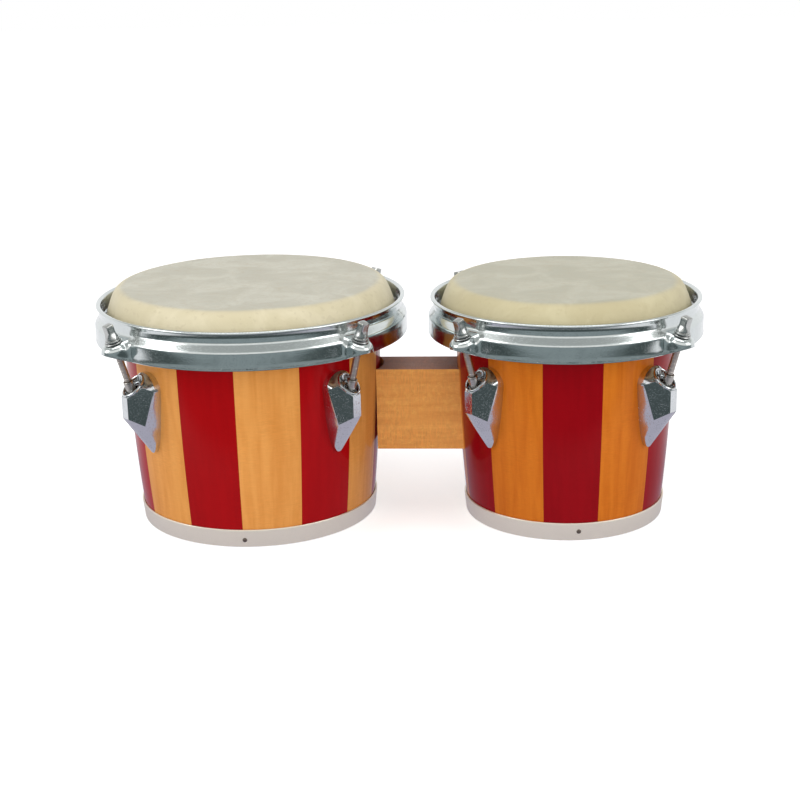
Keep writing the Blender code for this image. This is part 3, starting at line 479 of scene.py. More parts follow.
BAND_SATIN = metal_finish("band_satin", (0.90, 0.84, 0.71), (0.78, 0.72, 0.63), 0.30, 600.0, 0.00004, 0.25,
                          metallic=0.72)
PLAIN_STEEL = metal_finish("plain_steel", (0.40, 0.39, 0.37), (0.22, 0.20, 0.18), 0.36, 900.0, 0.00004, 0.4)
DARK_SCREW = metal_finish("dark_screw", (0.16, 0.13, 0.11), (0.08, 0.06, 0.05), 0.45, 1500.0, 0.00004, 0.3)


# ---- meshes

def new_object(name, data, *materials):
    obj = bpy.data.objects.new(name, data)
    bpy.context.scene.collection.objects.link(obj)
    for material in materials:
        data.materials.append(material)
    return obj


def soften(obj, angle=35.0):
    obj.data.shade_smooth()
    obj.data.set_sharp_from_angle(angle=radians(angle))
    return obj


def settle(obj):
    """Applies the object's modifiers to its mesh and drops them."""
    bpy.context.view_layer.update()
    graph = bpy.context.evaluated_depsgraph_get()
    mesh = bpy.data.meshes.new_from_object(obj.evaluated_get(graph), depsgraph=graph)
    obj.modifiers.clear()
    obj.data = mesh
    return obj


def crisp(obj):
    """Flat facets stay flat between their rounded edges."""
    soften(obj)
    weigh = obj.modifiers.new("facets", "WEIGHTED_NORMAL")
    weigh.weight = 100
    weigh.keep_sharp = True
    settle(obj)


def ease_edges(obj, width, segments, angle):
    """Rounds the edges that turn by more than the angle."""
    bevel = obj.modifiers.new("edges", "BEVEL")
    bevel.width = width
    bevel.segments = segments
    bevel.limit_method = "ANGLE"
    bevel.angle_limit = radians(angle)
    settle(obj)


def cut_away(obj, *cutters):
    """Takes the cutters out of the object and removes them."""
    for cutter in cutters:
        cut = obj.modifiers.new("cut", "BOOLEAN")
        cut.object = cutter
        cut.solver = "EXACT"
    settle(obj)
    for cutter in cutters:
        bpy.data.objects.remove(cutter)


def to_mesh(name, work, recalc=False):
    if recalc:
        bmesh.ops.recalc_face_normals(work, faces=work.faces)
    mesh = bpy.data.meshes.new(name)
    work.to_mesh(mesh)
    work.free()
    return mesh


def ring_mesh(name, rings, poles=(None, None)):
    """A skin over closed rings of points; poles close its two ends, and without them it closes on itself."""
    work = bmesh.new()
    rows = [[work.verts.new(point) for point in ring] for ring in rings]
    count = len(rows[0])
    pairs = list(zip(rows, rows[1:]))
    if poles == (None, None):
        pairs.append((rows[-1], rows[0]))
    for lower, upper in pairs:
        for k in range(count):
            after = (k + 1) % count
            work.faces.new((lower[k], lower[after], upper[after], upper[k]))
    for pole, row in zip(poles, (rows[0], rows[-1])):
        if pole is not None:
            tip = work.verts.new(pole)
            for k in range(count):
                work.faces.new((tip, row[(k + 1) % count], row[k]))
    return to_mesh(name, work, recalc=True)


def mix(first, second, share):
    return first + (second - first) * share


def clamped(value):
    return max(0.0, min(1.0, value))


def eased(value):
    value = clamped(value)
    return value * value * (3 - 2 * value)


def polar(radius, turn):
    return radius * cos(turn), radius * sin(turn)


def turned(name, profile, steps, ripple=None):
    """A profile of (radius, height) points turned about Z; a first or last radius of 0 is a pole."""
    profile = list(profile)
    poles = [None, None]
    if profile[0][0] == 0.0:
        poles[0] = (0.0, 0.0, profile.pop(0)[1])
    if profile[-1][0] == 0.0:
        poles[1] = (0.0, 0.0, profile.pop()[1])
    rings = []
    for radius, height in profile:
        ring = [Vector((*polar(radius, tau * k / steps), height)) for k in range(steps)]
        rings.append([ripple(point) for point in ring] if ripple else ring)
    return ring_mesh(name, rings, tuple(poles))


def arc(centre, radius, first, last, steps):
    """Points of (radius, height) on an arc, its angles in degrees."""
    turns = [radians(first + (last - first) * k / steps) for k in range(steps + 1)]
    return [(centre[0] + radius * cos(turn), centre[1] + radius * sin(turn)) for turn in turns]


# ---- geometry nodes

def geometry_tree(name, inputs):
    tree = bpy.data.node_groups.new(name, "GeometryNodeTree")
    add_socket(tree, "INPUT", "Geometry", "Geometry")
    sockets = {label: add_socket(tree, "INPUT", label, kind).identifier for label, kind in inputs}
    add_socket(tree, "OUTPUT", "Geometry", "Geometry")
    return tree, tree.nodes.new("NodeGroupInput").outputs, tree.nodes.new("NodeGroupOutput").inputs, sockets


def close_tree(tree, given, out, shape):
    """Ends a tree in Realize Instances and Set Material."""
    real = add(tree, "GeometryNodeRealizeInstances", {"Geometry": shape})
    done = add(tree, "GeometryNodeSetMaterial", {"Geometry": real, "Material": given["Material"]})
    tree.links.new(done, out["Geometry"])


def make_fitting_ring():
    """Fittings set round a drum: the input shape, made at angle 0, copied about the drum's axis."""
    tree, given, out, sockets = geometry_tree(
        "fitting_ring",
        [("Count", "Int"), ("First Angle", "Float"), ("Step Angle", "Float"), ("Axis", "Vector"),
         ("Material", "Material")],
    )
    points = add(tree, "GeometryNodePoints", {"Count": given["Count"]})
    index = tree.nodes.new("GeometryNodeInputIndex").outputs[0]
    turn = plus(tree, times(tree, index, given["Step Angle"]), given["First Angle"])
    rotation = add(tree, "FunctionNodeEulerToRotation", {"Euler": joined(tree, Z=turn)})
    inputs = {"Points": points, "Instance": given["Geometry"], "Rotation": rotation}
    ring = add(tree, "GeometryNodeInstanceOnPoints", inputs)
    moved = add(tree, "GeometryNodeTransform", {"Geometry": ring, "Translation": given["Axis"]})
    close_tree(tree, given, out, moved)
    return tree, sockets


def make_thread():
    """A screw thread: the input rod and a ridge that winds up it."""
    tree, given, out, sockets = geometry_tree(
        "rod_thread",
        [("Radius", "Float"), ("Pitch", "Float"), ("Length", "Float"), ("Wire", "Float"), ("Bottom", "Float"),
         ("Material", "Material")],
    )
    turns = maths(tree, "DIVIDE", given["Length"], given["Pitch"])
    inputs = {"Resolution": 18, "Rotations": turns, "Start Radius": given["Radius"],
              "End Radius": given["Radius"], "Height": given["Length"]}
    helix = add(tree, "GeometryNodeCurveSpiral", inputs)
    wire = add(tree, "GeometryNodeCurvePrimitiveCircle", {"Resolution": 4, "Radius": given["Wire"]})
    ridge = add(tree, "GeometryNodeCurveToMesh", {"Curve": helix, "Profile Curve": wire, "Fill Caps": True})
    lift = joined(tree, Z=given["Bottom"])
    moved = add(tree, "GeometryNodeTransform", {"Geometry": ridge, "Translation": lift})
    both = tree.nodes.new("GeometryNodeJoinGeometry")
    tree.links.new(moved, both.inputs[0])
    tree.links.new(given["Geometry"], both.inputs[0])
    close_tree(tree, given, out, both.outputs[0])
    return tree, sockets


FITTING_RING = make_fitting_ring()
ROD_THREAD = make_thread()


def shaped(name, mesh, tree_and_sockets, material, **values):
    """The mesh run through a geometry tree, as a plain object."""
    tree, sockets = tree_and_sockets
    obj = new_object(name, mesh)
    modifier = obj.modifiers.new("shape", "NODES")
    modifier.node_group = tree
    modifier[sockets["Material"]] = material
    for label, value in values.items():
        modifier[sockets[label.replace("_", " ")]] = value
    return soften(settle(obj))


def round_drum(name, mesh, drum, material, count=4, first=LUG_ANGLES[0], step=90.0):
    """Copies of a fitting round one drum, as one object."""
    return shaped(name, mesh, FITTING_RING, material, Count=count, First_Angle=radians(first),
                  Step_Angle=radians(step), Axis=(drum.x, 0.0, 0.0))


# ---- shells and bands

def make_staves(drum):
    """One shell of glued staves with its own map: stave number and share across, then height."""
    top, wall = SHELL_HEIGHT, drum.outside(SHELL_HEIGHT) - SHELL_WALL
    outer = [(drum.outside(z), z) for z in [top * k / 40 for k in range(39)] if z < top - BEARING_EDGE_ROUND]
    crest = (drum.outside(top) - BEARING_EDGE_ROUND, top - BEARING_EDGE_ROUND)
    profile = outer + arc(crest, BEARING_EDGE_ROUND, 0, 90, 6)
    profile += [(wall + INNER_EDGE_CHAMFER, top), (wall, top - INNER_EDGE_CHAMFER)]
    profile += [(drum.outside(z) - SHELL_WALL, z) for z in [top * k / 12 for k in range(11, -1, -1)]]
    work = bmesh.new()
    flat = work.loops.layers.uv.new("staves")
    columns = []
    for number, start in enumerate(drum.seams):
        end = (*drum.seams, drum.seams[0] + 360.0)[number + 1]
        for k in range(COLUMNS_PER_STAVE):
            turn = radians(mix(start, end, k / COLUMNS_PER_STAVE))
            column = []
            for row, (radius, height) in enumerate(profile):
                out = radius - (SEAM_GROOVE if k == 0 and row < len(outer) else 0.0)
                column.append(work.verts.new((drum.x + out * cos(turn), out * sin(turn), height)))
            columns.append((number, k / COLUMNS_PER_STAVE, column))
    rows = len(profile)
    map_width = 1.0 - 2 * STAVE_MAP_MARGIN
    for (number, share, column), (_, _, after) in zip(columns, columns[1:] + columns[:1]):
        left = number + STAVE_MAP_MARGIN + map_width * share
        right = left + map_width / COLUMNS_PER_STAVE
        for row in range(rows):
            below = (row + 1) % rows
            face = work.faces.new((column[row], after[row], after[below], column[below]))
            face.material_index = number % 2
            shift = INSIDE_MAP_SHIFT if row >= len(outer) else 0.0
            high, low = profile[row][1] + shift, profile[below][1] + shift
            for loop, spot in zip(face.loops, ((left, high), (right, high), (right, low), (left, low))):
                loop[flat].uv = spot
    staves = new_object(f"staves_{drum.name}", to_mesh("staves", work, recalc=True),
                        NATURAL[drum.name], RED[drum.name])
    soften(staves, 50.0)
    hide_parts(f"shell_{drum.name}")
    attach(staves, "drums")


def make_band(drum):
    """The steel strip round the foot and the two screws that hold it."""
    rings = []
    profile = [(0.0, 0.0), (0.55, 0.0), (0.9, 0.0002), (1.0, 0.0006)]
    profile += [(out, share * BAND_HEIGHT) for out, share in
                ((1.0, 0.5), (1.0, 0.9), (0.92, 0.97), (0.7, 1.0), (0.0, 1.0), (0.0, 0.5))]
    for out, height in profile:
        ring = []
        for k in range(BAND_STEPS):
            turn = tau * k / BAND_STEPS
            dent = BAND_DENTS * noise.noise(Vector((*polar(4, turn), height * 60 + drum.radius)))
            radius = drum.outside(height) + FIT_GAP + out * BAND_STEEL + dent
            ring.append((drum.x + radius * cos(turn), radius * sin(turn), height))
        rings.append(ring)
    band = new_object(f"foot_band_{drum.name}", ring_mesh("band", rings), BAND_SATIN)
    soften(band, 40.0)
    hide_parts(f"bottom_band_{drum.name}")
    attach(band, "drums")

    height = BAND_SCREW_HEIGHTS[drum.name]
    head = [(0.0, 0.0011), (0.0007, 0.00105), (0.0013, 0.0008), (0.0017, 0.0003), (0.0018, 0.0),
            (0.0010, -0.0001), (0.0010, -0.007), (0.0, -0.0075)]
    screw = turned("screw", head, 20)
    out = drum.outside(height) + FIT_GAP + BAND_STEEL
    screw.transform(Matrix.Translation((out, 0, height)) @ Matrix.Rotation(pi / 2, 4, "Y"))
    screws = round_drum(f"foot_screws_{drum.name}", screw, drum, DARK_SCREW, 2, drum.screw_angle, 180.0)
    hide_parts(f"band_screw_{drum.name}_1", f"band_screw_{drum.name}_2")
    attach(screws, "drums")


# ---- heads

def make_head(drum):
    """The rawhide: a flat playing surface, a steep slope and a tuck round the hoop."""
    lip = drum.lip
    flat = [(0.0, SKIN_TOP)]
    shares = (0.12, 0.25, 0.38, 0.5, 0.6, 0.69, 0.76)
    flat += [(lip * share, SKIN_TOP - SKIN_DISH * share) for share in shares]
    slope = [(0.0225, 0.1859), (0.0205, 0.18575), (0.0190, 0.1854), (0.0176, 0.1848), (0.0163, 0.1840),
             (0.0150, 0.1829), (0.0138, 0.1812), (0.0126, 0.1790), (0.0115, 0.1765), (0.0105, 0.1740),
             (0.0096, 0.1715), (0.0086, 0.1688), (0.0079, 0.1660), (0.0075, 0.1625), (0.0073, 0.1600)]
    outer = flat + [(lip - inset, height) for inset, height in slope]
    hoop = (lip - HOOP_INSET, HOOP_HEIGHT)
    tuck = arc(hoop, SKIN_TUCK_RADII[0], 165, 325, 12) + arc(hoop, SKIN_TUCK_RADII[1], 325, 185, 12)
    back = []
    for (inset, height), (after_inset, after_height) in zip(slope[::-1][1:], slope[::-1]):
        run = Vector((after_inset - inset, after_height - height)).normalized()
        back.append((lip - inset - abs(run.y) * SKIN_THICKNESS, height - abs(run.x) * SKIN_THICKNESS))
    under = [(radius, height - SKIN_THICKNESS) for radius, height in flat[::-1]]

    def ripple(point):
        """Slight unevenness of a natural hide: slow waves on top, faint upright folds on the slope."""
        reach = hypot(point.x, point.y)
        turn = atan2(point.y, point.x)
        share = clamped((reach - lip + HIDE_FOLDS_INSET) / HIDE_FOLDS_ZONE)
        spot = Vector((point.x * 22 + drum.radius * 90, point.y * 22, 0.0))
        lift = HIDE_WAVES * noise.noise(spot) * (1 - share)
        fold = noise.noise(Vector((*polar(7, turn), drum.radius * 50)))
        pull = 1 + HIDE_FOLDS * fold * share * (1.0 if point.z > slope[-1][1] else 0.2) / max(reach, 0.01)
        return Vector((point.x * pull, point.y * pull, point.z + lift))

    mesh = turned("rawhide", outer + tuck + back + under, 192, ripple)
    mesh.transform(drum.centre())
    head = new_object(f"rawhide_{drum.name}", mesh, rawhide_finish(drum))
    soften(head, 60.0)
    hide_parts(f"skin_{drum.name}")
    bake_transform(head)


# ---- rims

def shelf_height(drum, radius, between):
    """Height of the rim's shelf: square to the leaning rods at an ear, much steeper between the ears."""
    at_ear = EAR_PLANE_TOP - (radius - drum.lip + EAR_PLANE_INSET) * tan(ROD_LEAN)
    plain = SHELF_TOP - (radius - drum.lip + RIM_WALL_INSET - RIM_STEEL) * SHELF_SLOPE
    return mix(at_ear, plain, between)


def bezier(a, b, c, d, share):
    left = 1 - share
    return a * left**3 + b * 3 * left * left * share + c * 3 * left * share * share + d * share**3


def ear_outline(drum):
    """Plan of the rim's skirt at angle 0: half an ear, its concave root and an arc to the next ear."""
    skirt = drum.lip + SKIRT_BEYOND_LIP
    centre = drum.lip + EAR_TIP_BEYOND_LIP - EAR_HALF_WIDTH
    last = radians(EAR_END_ANGLE)
    end = [Vector((centre + x, y)) for x, y in [polar(EAR_HALF_WIDTH, last * k / 9) for k in range(10)]]
    leave = Vector((-sin(last), cos(last))) * EAR_ROOT_PULLS[0]
    root = asin(EAR_ROOT_WIDTH / skirt)
    foot = Vector(polar(skirt, root))
    meet = Vector((-sin(root), cos(root))) * EAR_ROOT_PULLS[1]
    web = [bezier(end[-1], end[-1] + leave, foot - meet, foot, k / 9) for k in range(1, 10)]
    run = [Vector(polar(skirt, mix(root, pi / 4, k / 14))) for k in range(1, 15)]
    return end + web + run


def rim_plan(drum):
    """The whole outline as (point, outward normal), once round."""
    half = ear_outline(drum)
    quarter = [Vector((p.x, -p.y)) for p in half[:0:-1]] + half[:-1]
    points = []
    for angle in LUG_ANGLES:
        turn = Matrix.Rotation(radians(angle), 2)
        points += [turn @ p for p in quarter]
    pairs = zip(points[-1:] + points, points[1:] + points[:1])
    runs = [(after - before).normalized() for before, after in pairs]
    return [(point, Vector((run.y, -run.x))) for point, run in zip(points, runs)]


def rim_column(drum, point, outward):
    """One section of the rim, as a closed loop of points, through a point of its outline."""
    lip = drum.lip
    wall = lip - RIM_WALL_INSET
    steel = wall + RIM_STEEL
    reach = clamped((point.length - lip - SKIRT_BEYOND_LIP) / (EAR_TIP_BEYOND_LIP - SKIRT_BEYOND_LIP))
    bottom = RIM_BOTTOM + EAR_LIFT * reach
    between = eased(1.0 - reach / EAR_BLEND)
    turn = degrees(atan2(point.y, point.x))
    beside = abs((turn - LUG_ANGLES[0] + 45.0) % 90.0 - 45.0)
    rounding = mix(SHOULDER_RADIUS, EAR_EDGE_RADIUS, eased(1.4 - beside / EAR_FLARE))
    slope = mix(tan(ROD_LEAN), SHELF_SLOPE, between)
    tilt = atan2(1.0, slope)
    start = point - outward * rounding * (1 - cos(tilt))
    inside = point - outward * rounding
    spoke = start.normalized()
    high = shelf_height(drum, start.length, between) - rounding * sin(tilt)
    corner = shelf_height(drum, steel, between)
    hollow = corner + CORNER_RADIUS * (hypot(1.0, slope) - slope)
    column = []

    def on_spoke(*spots):
        column.extend(Vector((spoke.x * radius, spoke.y * radius, height)) for radius, height in spots)

    def off_outline(*spots):
        for inset, height in spots:
            spot = point - outward * inset
            column.append(Vector((spot.x, spot.y, height)))

    def along_shelf(first, last, shares, drop):
        for radius in [mix(first, last, share) for share in shares]:
            on_spoke((radius, shelf_height(drum, radius, between) - drop))

    on_spoke((wall, corner - RIM_STEEL), *[(wall + out, RIM_TOP - drop) for out, drop in RIM_INSIDE])
    on_spoke(*arc((lip - LIP_ROLL, RIM_TOP - LIP_ROLL), LIP_ROLL, 90, 0, 6))
    on_spoke(*[(lip - inset, RIM_TOP - drop) for inset, drop in RIM_UNDER_LIP])
    on_spoke((steel + 0.0005, RIM_TOP - 0.0029), (steel, RIM_TOP - 0.0040), (steel, corner + 0.0036))
    on_spoke(*arc((steel + CORNER_RADIUS, hollow), CORNER_RADIUS, 180, 180 + degrees(tilt), 6))
    along_shelf(steel + CORNER_RADIUS * (1 - cos(tilt)), start.length, (0.25, 0.5, 0.75), 0.0)
    for k in range(8):
        turn = tilt * (1 - k / 7)
        off_outline((rounding * (1 - cos(turn)), high + rounding * sin(turn)))
    off_outline(*[(0.0, mix(high, bottom + RIM_HEM[0][1], share)) for share in (0.35, 0.7)])
    off_outline(*[(inset, bottom + rise) for inset, rise in RIM_HEM])
    off_outline((RIM_STEEL, mix(bottom, high, 0.55)), (RIM_STEEL, high - 0.0004),
                (RIM_STEEL + 0.0003, high + 0.0001),
                (rounding, shelf_height(drum, inside.length, between) - RIM_STEEL))
    along_shelf(wall + 0.0012, inside.length, (0.66, 0.33), RIM_STEEL)
    on_spoke((wall + 0.0010, corner - RIM_STEEL - 0.0001))
    return column


def make_rim(drum):
    columns = [rim_column(drum, *entry) for entry in rim_plan(drum)]
    rings = list(zip(*columns))
    rim = new_object(f"pressed_rim_{drum.name}", ring_mesh("rim", rings), RIM_CHROME)
    pin = [(0.0, 0.02), (EAR_HOLE_RADIUS, 0.02), (EAR_HOLE_RADIUS, -0.02), (0.0, -0.02)]
    drill = turned("drill", pin, 32)
    drill.transform(drum.seat())
    drills = round_drum("drills", drill, drum, RIM_CHROME)
    drills.data.transform(drum.centre().inverted())
    cut_away(rim, drills)
    rim.data.transform(drum.centre())
    soften(rim, 40.0)
    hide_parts(f"rim_{drum.name}")
    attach(rim, f"rim_{drum.name}")


# ---- rods, washers and nuts

def squared_ring(half, power, height, steps=40):
    """A ring from round (power 2) to nearly square (power 10)."""
    ring = []
    for k in range(steps):
        turn = tau * k / steps
        reach = half / (abs(cos(turn)) ** power + abs(sin(turn)) ** power) ** (1 / power)
        ring.append((*polar(reach, turn), height))
    return ring


def make_rod_shape():
    """The rod's smooth body in its seat's frame: shank, flange, flared foot and square key head."""
    base = FIT_GAP * 2 + WASHER_THICKNESS
    foot = base - ROD_LENGTH
    shank = [(0.0017, 2, foot), (ROD_CORE_RADIUS, 2, foot + 0.0008),
             (ROD_CORE_RADIUS, 2, -THREAD_START - THREAD_RUN_OUT), (0.0026, 2, -THREAD_START),
             (0.0026, 2, base)]
    head = [(0.0053, 2, 0.0), (0.0057, 2, 0.0003), (0.0057, 2, 0.0012), (0.0055, 2, 0.0015),
            (0.0049, 2, 0.0016), (0.0049, 2, 0.0019), (0.0051, 2, 0.0022), (0.0050, 2.1, 0.0028),
            (0.0045, 2.4, 0.0038), (0.0040, 3, 0.0048), (0.0036, 4, 0.0058), (0.0033, 6, 0.0067),
            (0.00315, 9, 0.0076), (0.00315, 10, 0.0100), (0.0032, 10, 0.0125), (0.0030, 8, 0.0131),
            (0.0026, 6, 0.0132)]
    sections = shank + [(half, power, base + rise) for half, power, rise in head]
    return ring_mesh("rod", [squared_ring(*section) for section in sections],
                     ((0, 0, foot), (0, 0, sections[-1][2])))


def make_rods(drum, rod_shape):
    length = ROD_LENGTH - THREAD_START - THREAD_END_GAP
    low, high, flat = FIT_GAP, FIT_GAP + WASHER_THICKNESS, WASHER_RADIUS - WASHER_EDGE
    profile = [(BORE_RADIUS, high), (flat, high), (WASHER_RADIUS, high - WASHER_EDGE),
               (WASHER_RADIUS, low + WASHER_EDGE), (flat, low), (BORE_RADIUS, low)]
    for number, angle in enumerate(LUG_ANGLES, 1):
        rod = shaped(f"key_rod_{drum.name}_{number}", rod_shape.copy(), ROD_THREAD, ROD_ZINC,
                     Radius=ROD_CORE_RADIUS, Pitch=THREAD_PITCH, Length=length, Wire=THREAD_WIRE,
                     Bottom=-THREAD_START - THREAD_RUN_OUT - length)
        rod.data.materials.append(HEAD_ZINC)
        head = len(rod.data.materials) - 1
        for face in rod.data.polygons:
            if face.center.z > KEY_HEAD_START:
                face.material_index = head
        rod.data.transform(drum.centre() @ Matrix.Rotation(radians(angle), 4, "Z") @ drum.seat())
        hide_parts(f"tension_rod_{drum.name}_{number}")
        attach(rod, f"rod_{drum.name}_{number}")

        disc = turned("washer", profile, 36)
        disc.transform(drum.seat())
        washer = round_drum(f"rod_washer_{drum.name}_{number}", disc, drum, HEAD_ZINC, 1, angle)
        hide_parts(f"washer_{drum.name}_{number}")
        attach(washer, f"washer_{drum.name}_{number}")


def make_nuts(drum):
    profile = [(BORE_RADIUS, 0.0002), (0.0031, 0.0), (0.0034, 0.0), (NUT_RADIUS, 0.0003),
               (NUT_RADIUS, 0.0008), (0.0035, 0.0010), (NUT_RADIUS, 0.0012), (NUT_RADIUS, 0.0135),
               (0.0047, 0.0143), (0.0047, 0.0180), (NUT_RADIUS, 0.0188), (NUT_RADIUS, NUT_LENGTH),
               (BORE_RADIUS, NUT_LENGTH)]
    sleeve = turned("nut", [(radius, NUT_TOP - drop) for radius, drop in profile], 36)
    sleeve.transform(drum.seat())
    nuts = round_drum(f"sleeve_nuts_{drum.name}", sleeve, drum, SLEEVE_STEEL)
    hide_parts(*[f"swivel_nut_{drum.name}_{n}" for n in range(1, 5)])
    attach(nuts, "drums")


# ---- lugs

def lug_half_width(z):
    """Half the width of the lug's base plate at height z: a round top over a pointed foot."""
    if z >= LUG_WIDE_HEIGHT:
        rise = (z - LUG_WIDE_HEIGHT) / LUG_HALF_WIDTH
        return LUG_HALF_WIDTH * sqrt(max(0.0, 1.0 - rise * rise))
    share = (z - LUG_TIP_HEIGHT) / (LUG_WIDE_HEIGHT - LUG_TIP_HEIGHT)
    return LUG_HALF_WIDTH * share**LUG_FOOT_CURVE


def hull_mesh(name, points):
    work = bmesh.new()
    for point in points:
        work.verts.new(point)
    made = bmesh.ops.convex_hull(work, input=work.verts)
    inner = made["geom_interior"] + made["geom_unused"]
    loose = {item for item in inner if isinstance(item, bmesh.types.BMVert)}
    bmesh.ops.delete(work, geom=list(loose), context="VERTS")
    bmesh.ops.dissolve_limit(work, angle_limit=radians(1.0), verts=work.verts, edges=work.edges)
    return to_mesh(name, work, recalc=True)


def tube(name, path, radius, steps=10):
    """A round bar along a closed path of points."""
    rings = []
    for before, point, after in zip(path[-1:] + path, path, path[1:] + path[:1]):
        run = (after - before).normalized()
        side = run.cross(Vector((sin(ROD_LEAN), 0, cos(ROD_LEAN)))).normalized()
        up = side.cross(run)
        rings.append([point + (side * cos(a) + up * sin(a)) * radius
                      for a in [tau * step / steps for step in range(steps)]])
    return ring_mesh(name, rings)


def make_lug_shape(drum):
    """One cast lug at angle 0: a faceted body on a pointed plate, a raised lip round its recess."""
    rise = LUG_WIDE_HEIGHT - LUG_TIP_HEIGHT
    heights = [LUG_TIP_HEIGHT + rise * (k / 18) ** 2.2 for k in range(1, 19)]
    heights += [LUG_WIDE_HEIGHT + LUG_HALF_WIDTH * sin(radians(a)) for a in range(7, 90, 7)]
    corner_bottom = LUG_WIDE_HEIGHT + LUG_CORNER_BOTTOM
    nose_top = LUG_WIDE_HEIGHT + LUG_NOSE_TOP
    side_bottom = LUG_WIDE_HEIGHT + LUG_SIDE_BOTTOM
    nose = drum.rod_reach(nose_top) + LUG_NOSE_REACH
    corner = nose - LUG_CORNER_SETBACK
    side = drum.outside(nose_top) + LUG_SIDE_DEPTH

    def top(reach, slope=LUG_TOP_SLOPE):
        return nose_top + (nose - reach) * slope

    points = []
    for z in heights:
        half = lug_half_width(z)
        share = min(1.0, (z - LUG_TIP_HEIGHT) / (corner_bottom - LUG_TIP_HEIGHT))
        depth = mix(LUG_TIP_DEPTH, LUG_PLATE_DEPTH, share)
        for way in (-1, 1):
            points.append((drum.outside(z) + depth, way * half * LUG_SIDE_SHARE, z))
            points.append((drum.outside(z) - 0.004, way * half, z))
    for way in (-1, 1):
        points += [
            (nose, way * LUG_NOSE_HALF_WIDTH, nose_top),
            (nose, way * LUG_NOSE_HALF_WIDTH, LUG_WIDE_HEIGHT + LUG_NOSE_BOTTOM),
            (corner, way * LUG_CORNER_HALF_WIDTH, top(corner)),
            (corner, way * LUG_CORNER_HALF_WIDTH, corner_bottom),
            (side, way * LUG_HALF_WIDTH * LUG_SIDE_SHARE, nose_top + LUG_SIDE_TOP),
            (side, way * lug_half_width(side_bottom) * LUG_SIDE_SHARE, side_bottom),
        ]
    lug = new_object("lug_form", hull_mesh("lug", points))
    ease_edges(lug, LUG_EDGE_ROUND, 3, 12.0)

    middle = nose - LUG_LIP_SETBACK - LUG_LIP_REACH
    oval = [(middle + LUG_LIP_REACH * cos(turn), LUG_LIP_HALF_WIDTH * sin(turn))
            for turn in [tau * k / 48 for k in range(48)]]
    above = LUG_WIDE_HEIGHT + 0.03
    rings = [[(x, y, top(x) - LUG_RECESS) for x, y in oval], [(x, y, above) for x, y in oval]]
    recess = ring_mesh("recess", rings, ((middle, 0.0, top(middle) - LUG_RECESS), (middle, 0.0, above)))
    deep = NUT_TOP - LUG_SLOT_FLOOR
    drill = turned("slot", [(0.0, 0.0), (LUG_SLOT_RADIUS, 0.0), (LUG_SLOT_RADIUS, deep), (0.0, deep)], 40)
    drill.transform(drum.seat() @ Matrix.Translation((-LUG_SLOT_SETBACK, 0, 0)))
    cut_away(lug, new_object("recess", recess), new_object("slot", drill))

    ridge = [Vector((x, y, top(x, LUG_LIP_SLOPE) + 0.0002)) for x, y in oval]
    work = bmesh.new()
    work.from_mesh(lug.data)
    work.from_mesh(tube("slot_lip", ridge, LUG_LIP_RADIUS))
    bpy.data.objects.remove(lug)
    return to_mesh("lug_shape", work)


def make_lugs(drum):
    lugs = round_drum(f"cast_lugs_{drum.name}", make_lug_shape(drum), drum, LUG_CHROME)
    crisp(lugs)
    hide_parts(*[f"lug_{drum.name}_{n}" for n in range(1, 5)])
    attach(lugs, "drums")


# ---- block

def make_block():
    """The centre block: the solid's own form with eased edges, a figured face and painted shade on its top.
    """
    work = bmesh.new()
    work.from_mesh(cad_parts["centre_block"].data)
    bmesh.ops.remove_doubles(work, verts=work.verts, dist=0.00002)
    bmesh.ops.dissolve_limit(work, angle_limit=radians(1.0), verts=work.verts, edges=work.edges)
    block = new_object("joining_block", to_mesh("block", work), BLOCK_WOOD, BLOCK_TOP_PAINTED_SHADE)
    ease_edges(block, 0.0006, 2, 50.0)
    # Faces that look up take the darker top wood, which is painted shade from the rims above.
    for face in block.data.polygons:
        face.material_index = 1 if face.normal.z > 0.5 else 0
    crisp(block)
    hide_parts("centre_block")
    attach(block, "drums")


for bongo in DRUMS:
    make_staves(bongo)
    make_band(bongo)
    make_head(bongo)
    make_rim(bongo)
    make_rods(bongo, make_rod_shape())
    make_nuts(bongo)
    make_lugs(bongo)
make_block()

for node_name, node_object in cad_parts.items():
    if node_name.startswith(("flesh_hoop", "lug_screws", "block_screw")):
        for material_slot in node_object.material_slots:
            material_slot.material = PLAIN_STEEL


# ---- studio

STUDIO_WHITE = (1.0, 1.0, 1.0)
STUDIO_AMBIENT = (0.62, 0.62, 0.62)
ROOM_SHADE, ROOM_GLOW = (0.06, 0.08, 0.08), (0.30, 0.34, 0.35)
SKY_LOW, SKY_HIGH = (1.0, 1.0, 0.98), (0.46, 0.48, 0.47)
WALL_HIGH = (0.60, 0.61, 0.59)
# Painted reflection on the floor, seen only by metal: darker near the object as painted shadow, white farther
# out, a dim room in front.
FLOOR_NEAR_PAINTED_SHADOW, FLOOR_FAR = (0.50, 0.48, 0.57), (0.98, 0.98, 1.0)
FLOOR_SHADE, FLOOR_DUSK = (0.07, 0.09, 0.09), (0.29, 0.34, 0.35)
FLOOR_GLOW = 0.53
CAMERA_LENS = 71.72
CAMERA_PLACE = (0.0818, -1.2076, 0.4546)
CAMERA_YAW, CAMERA_PITCH, CAMERA_ROLL = 0.0673, 0.2942, -0.0215


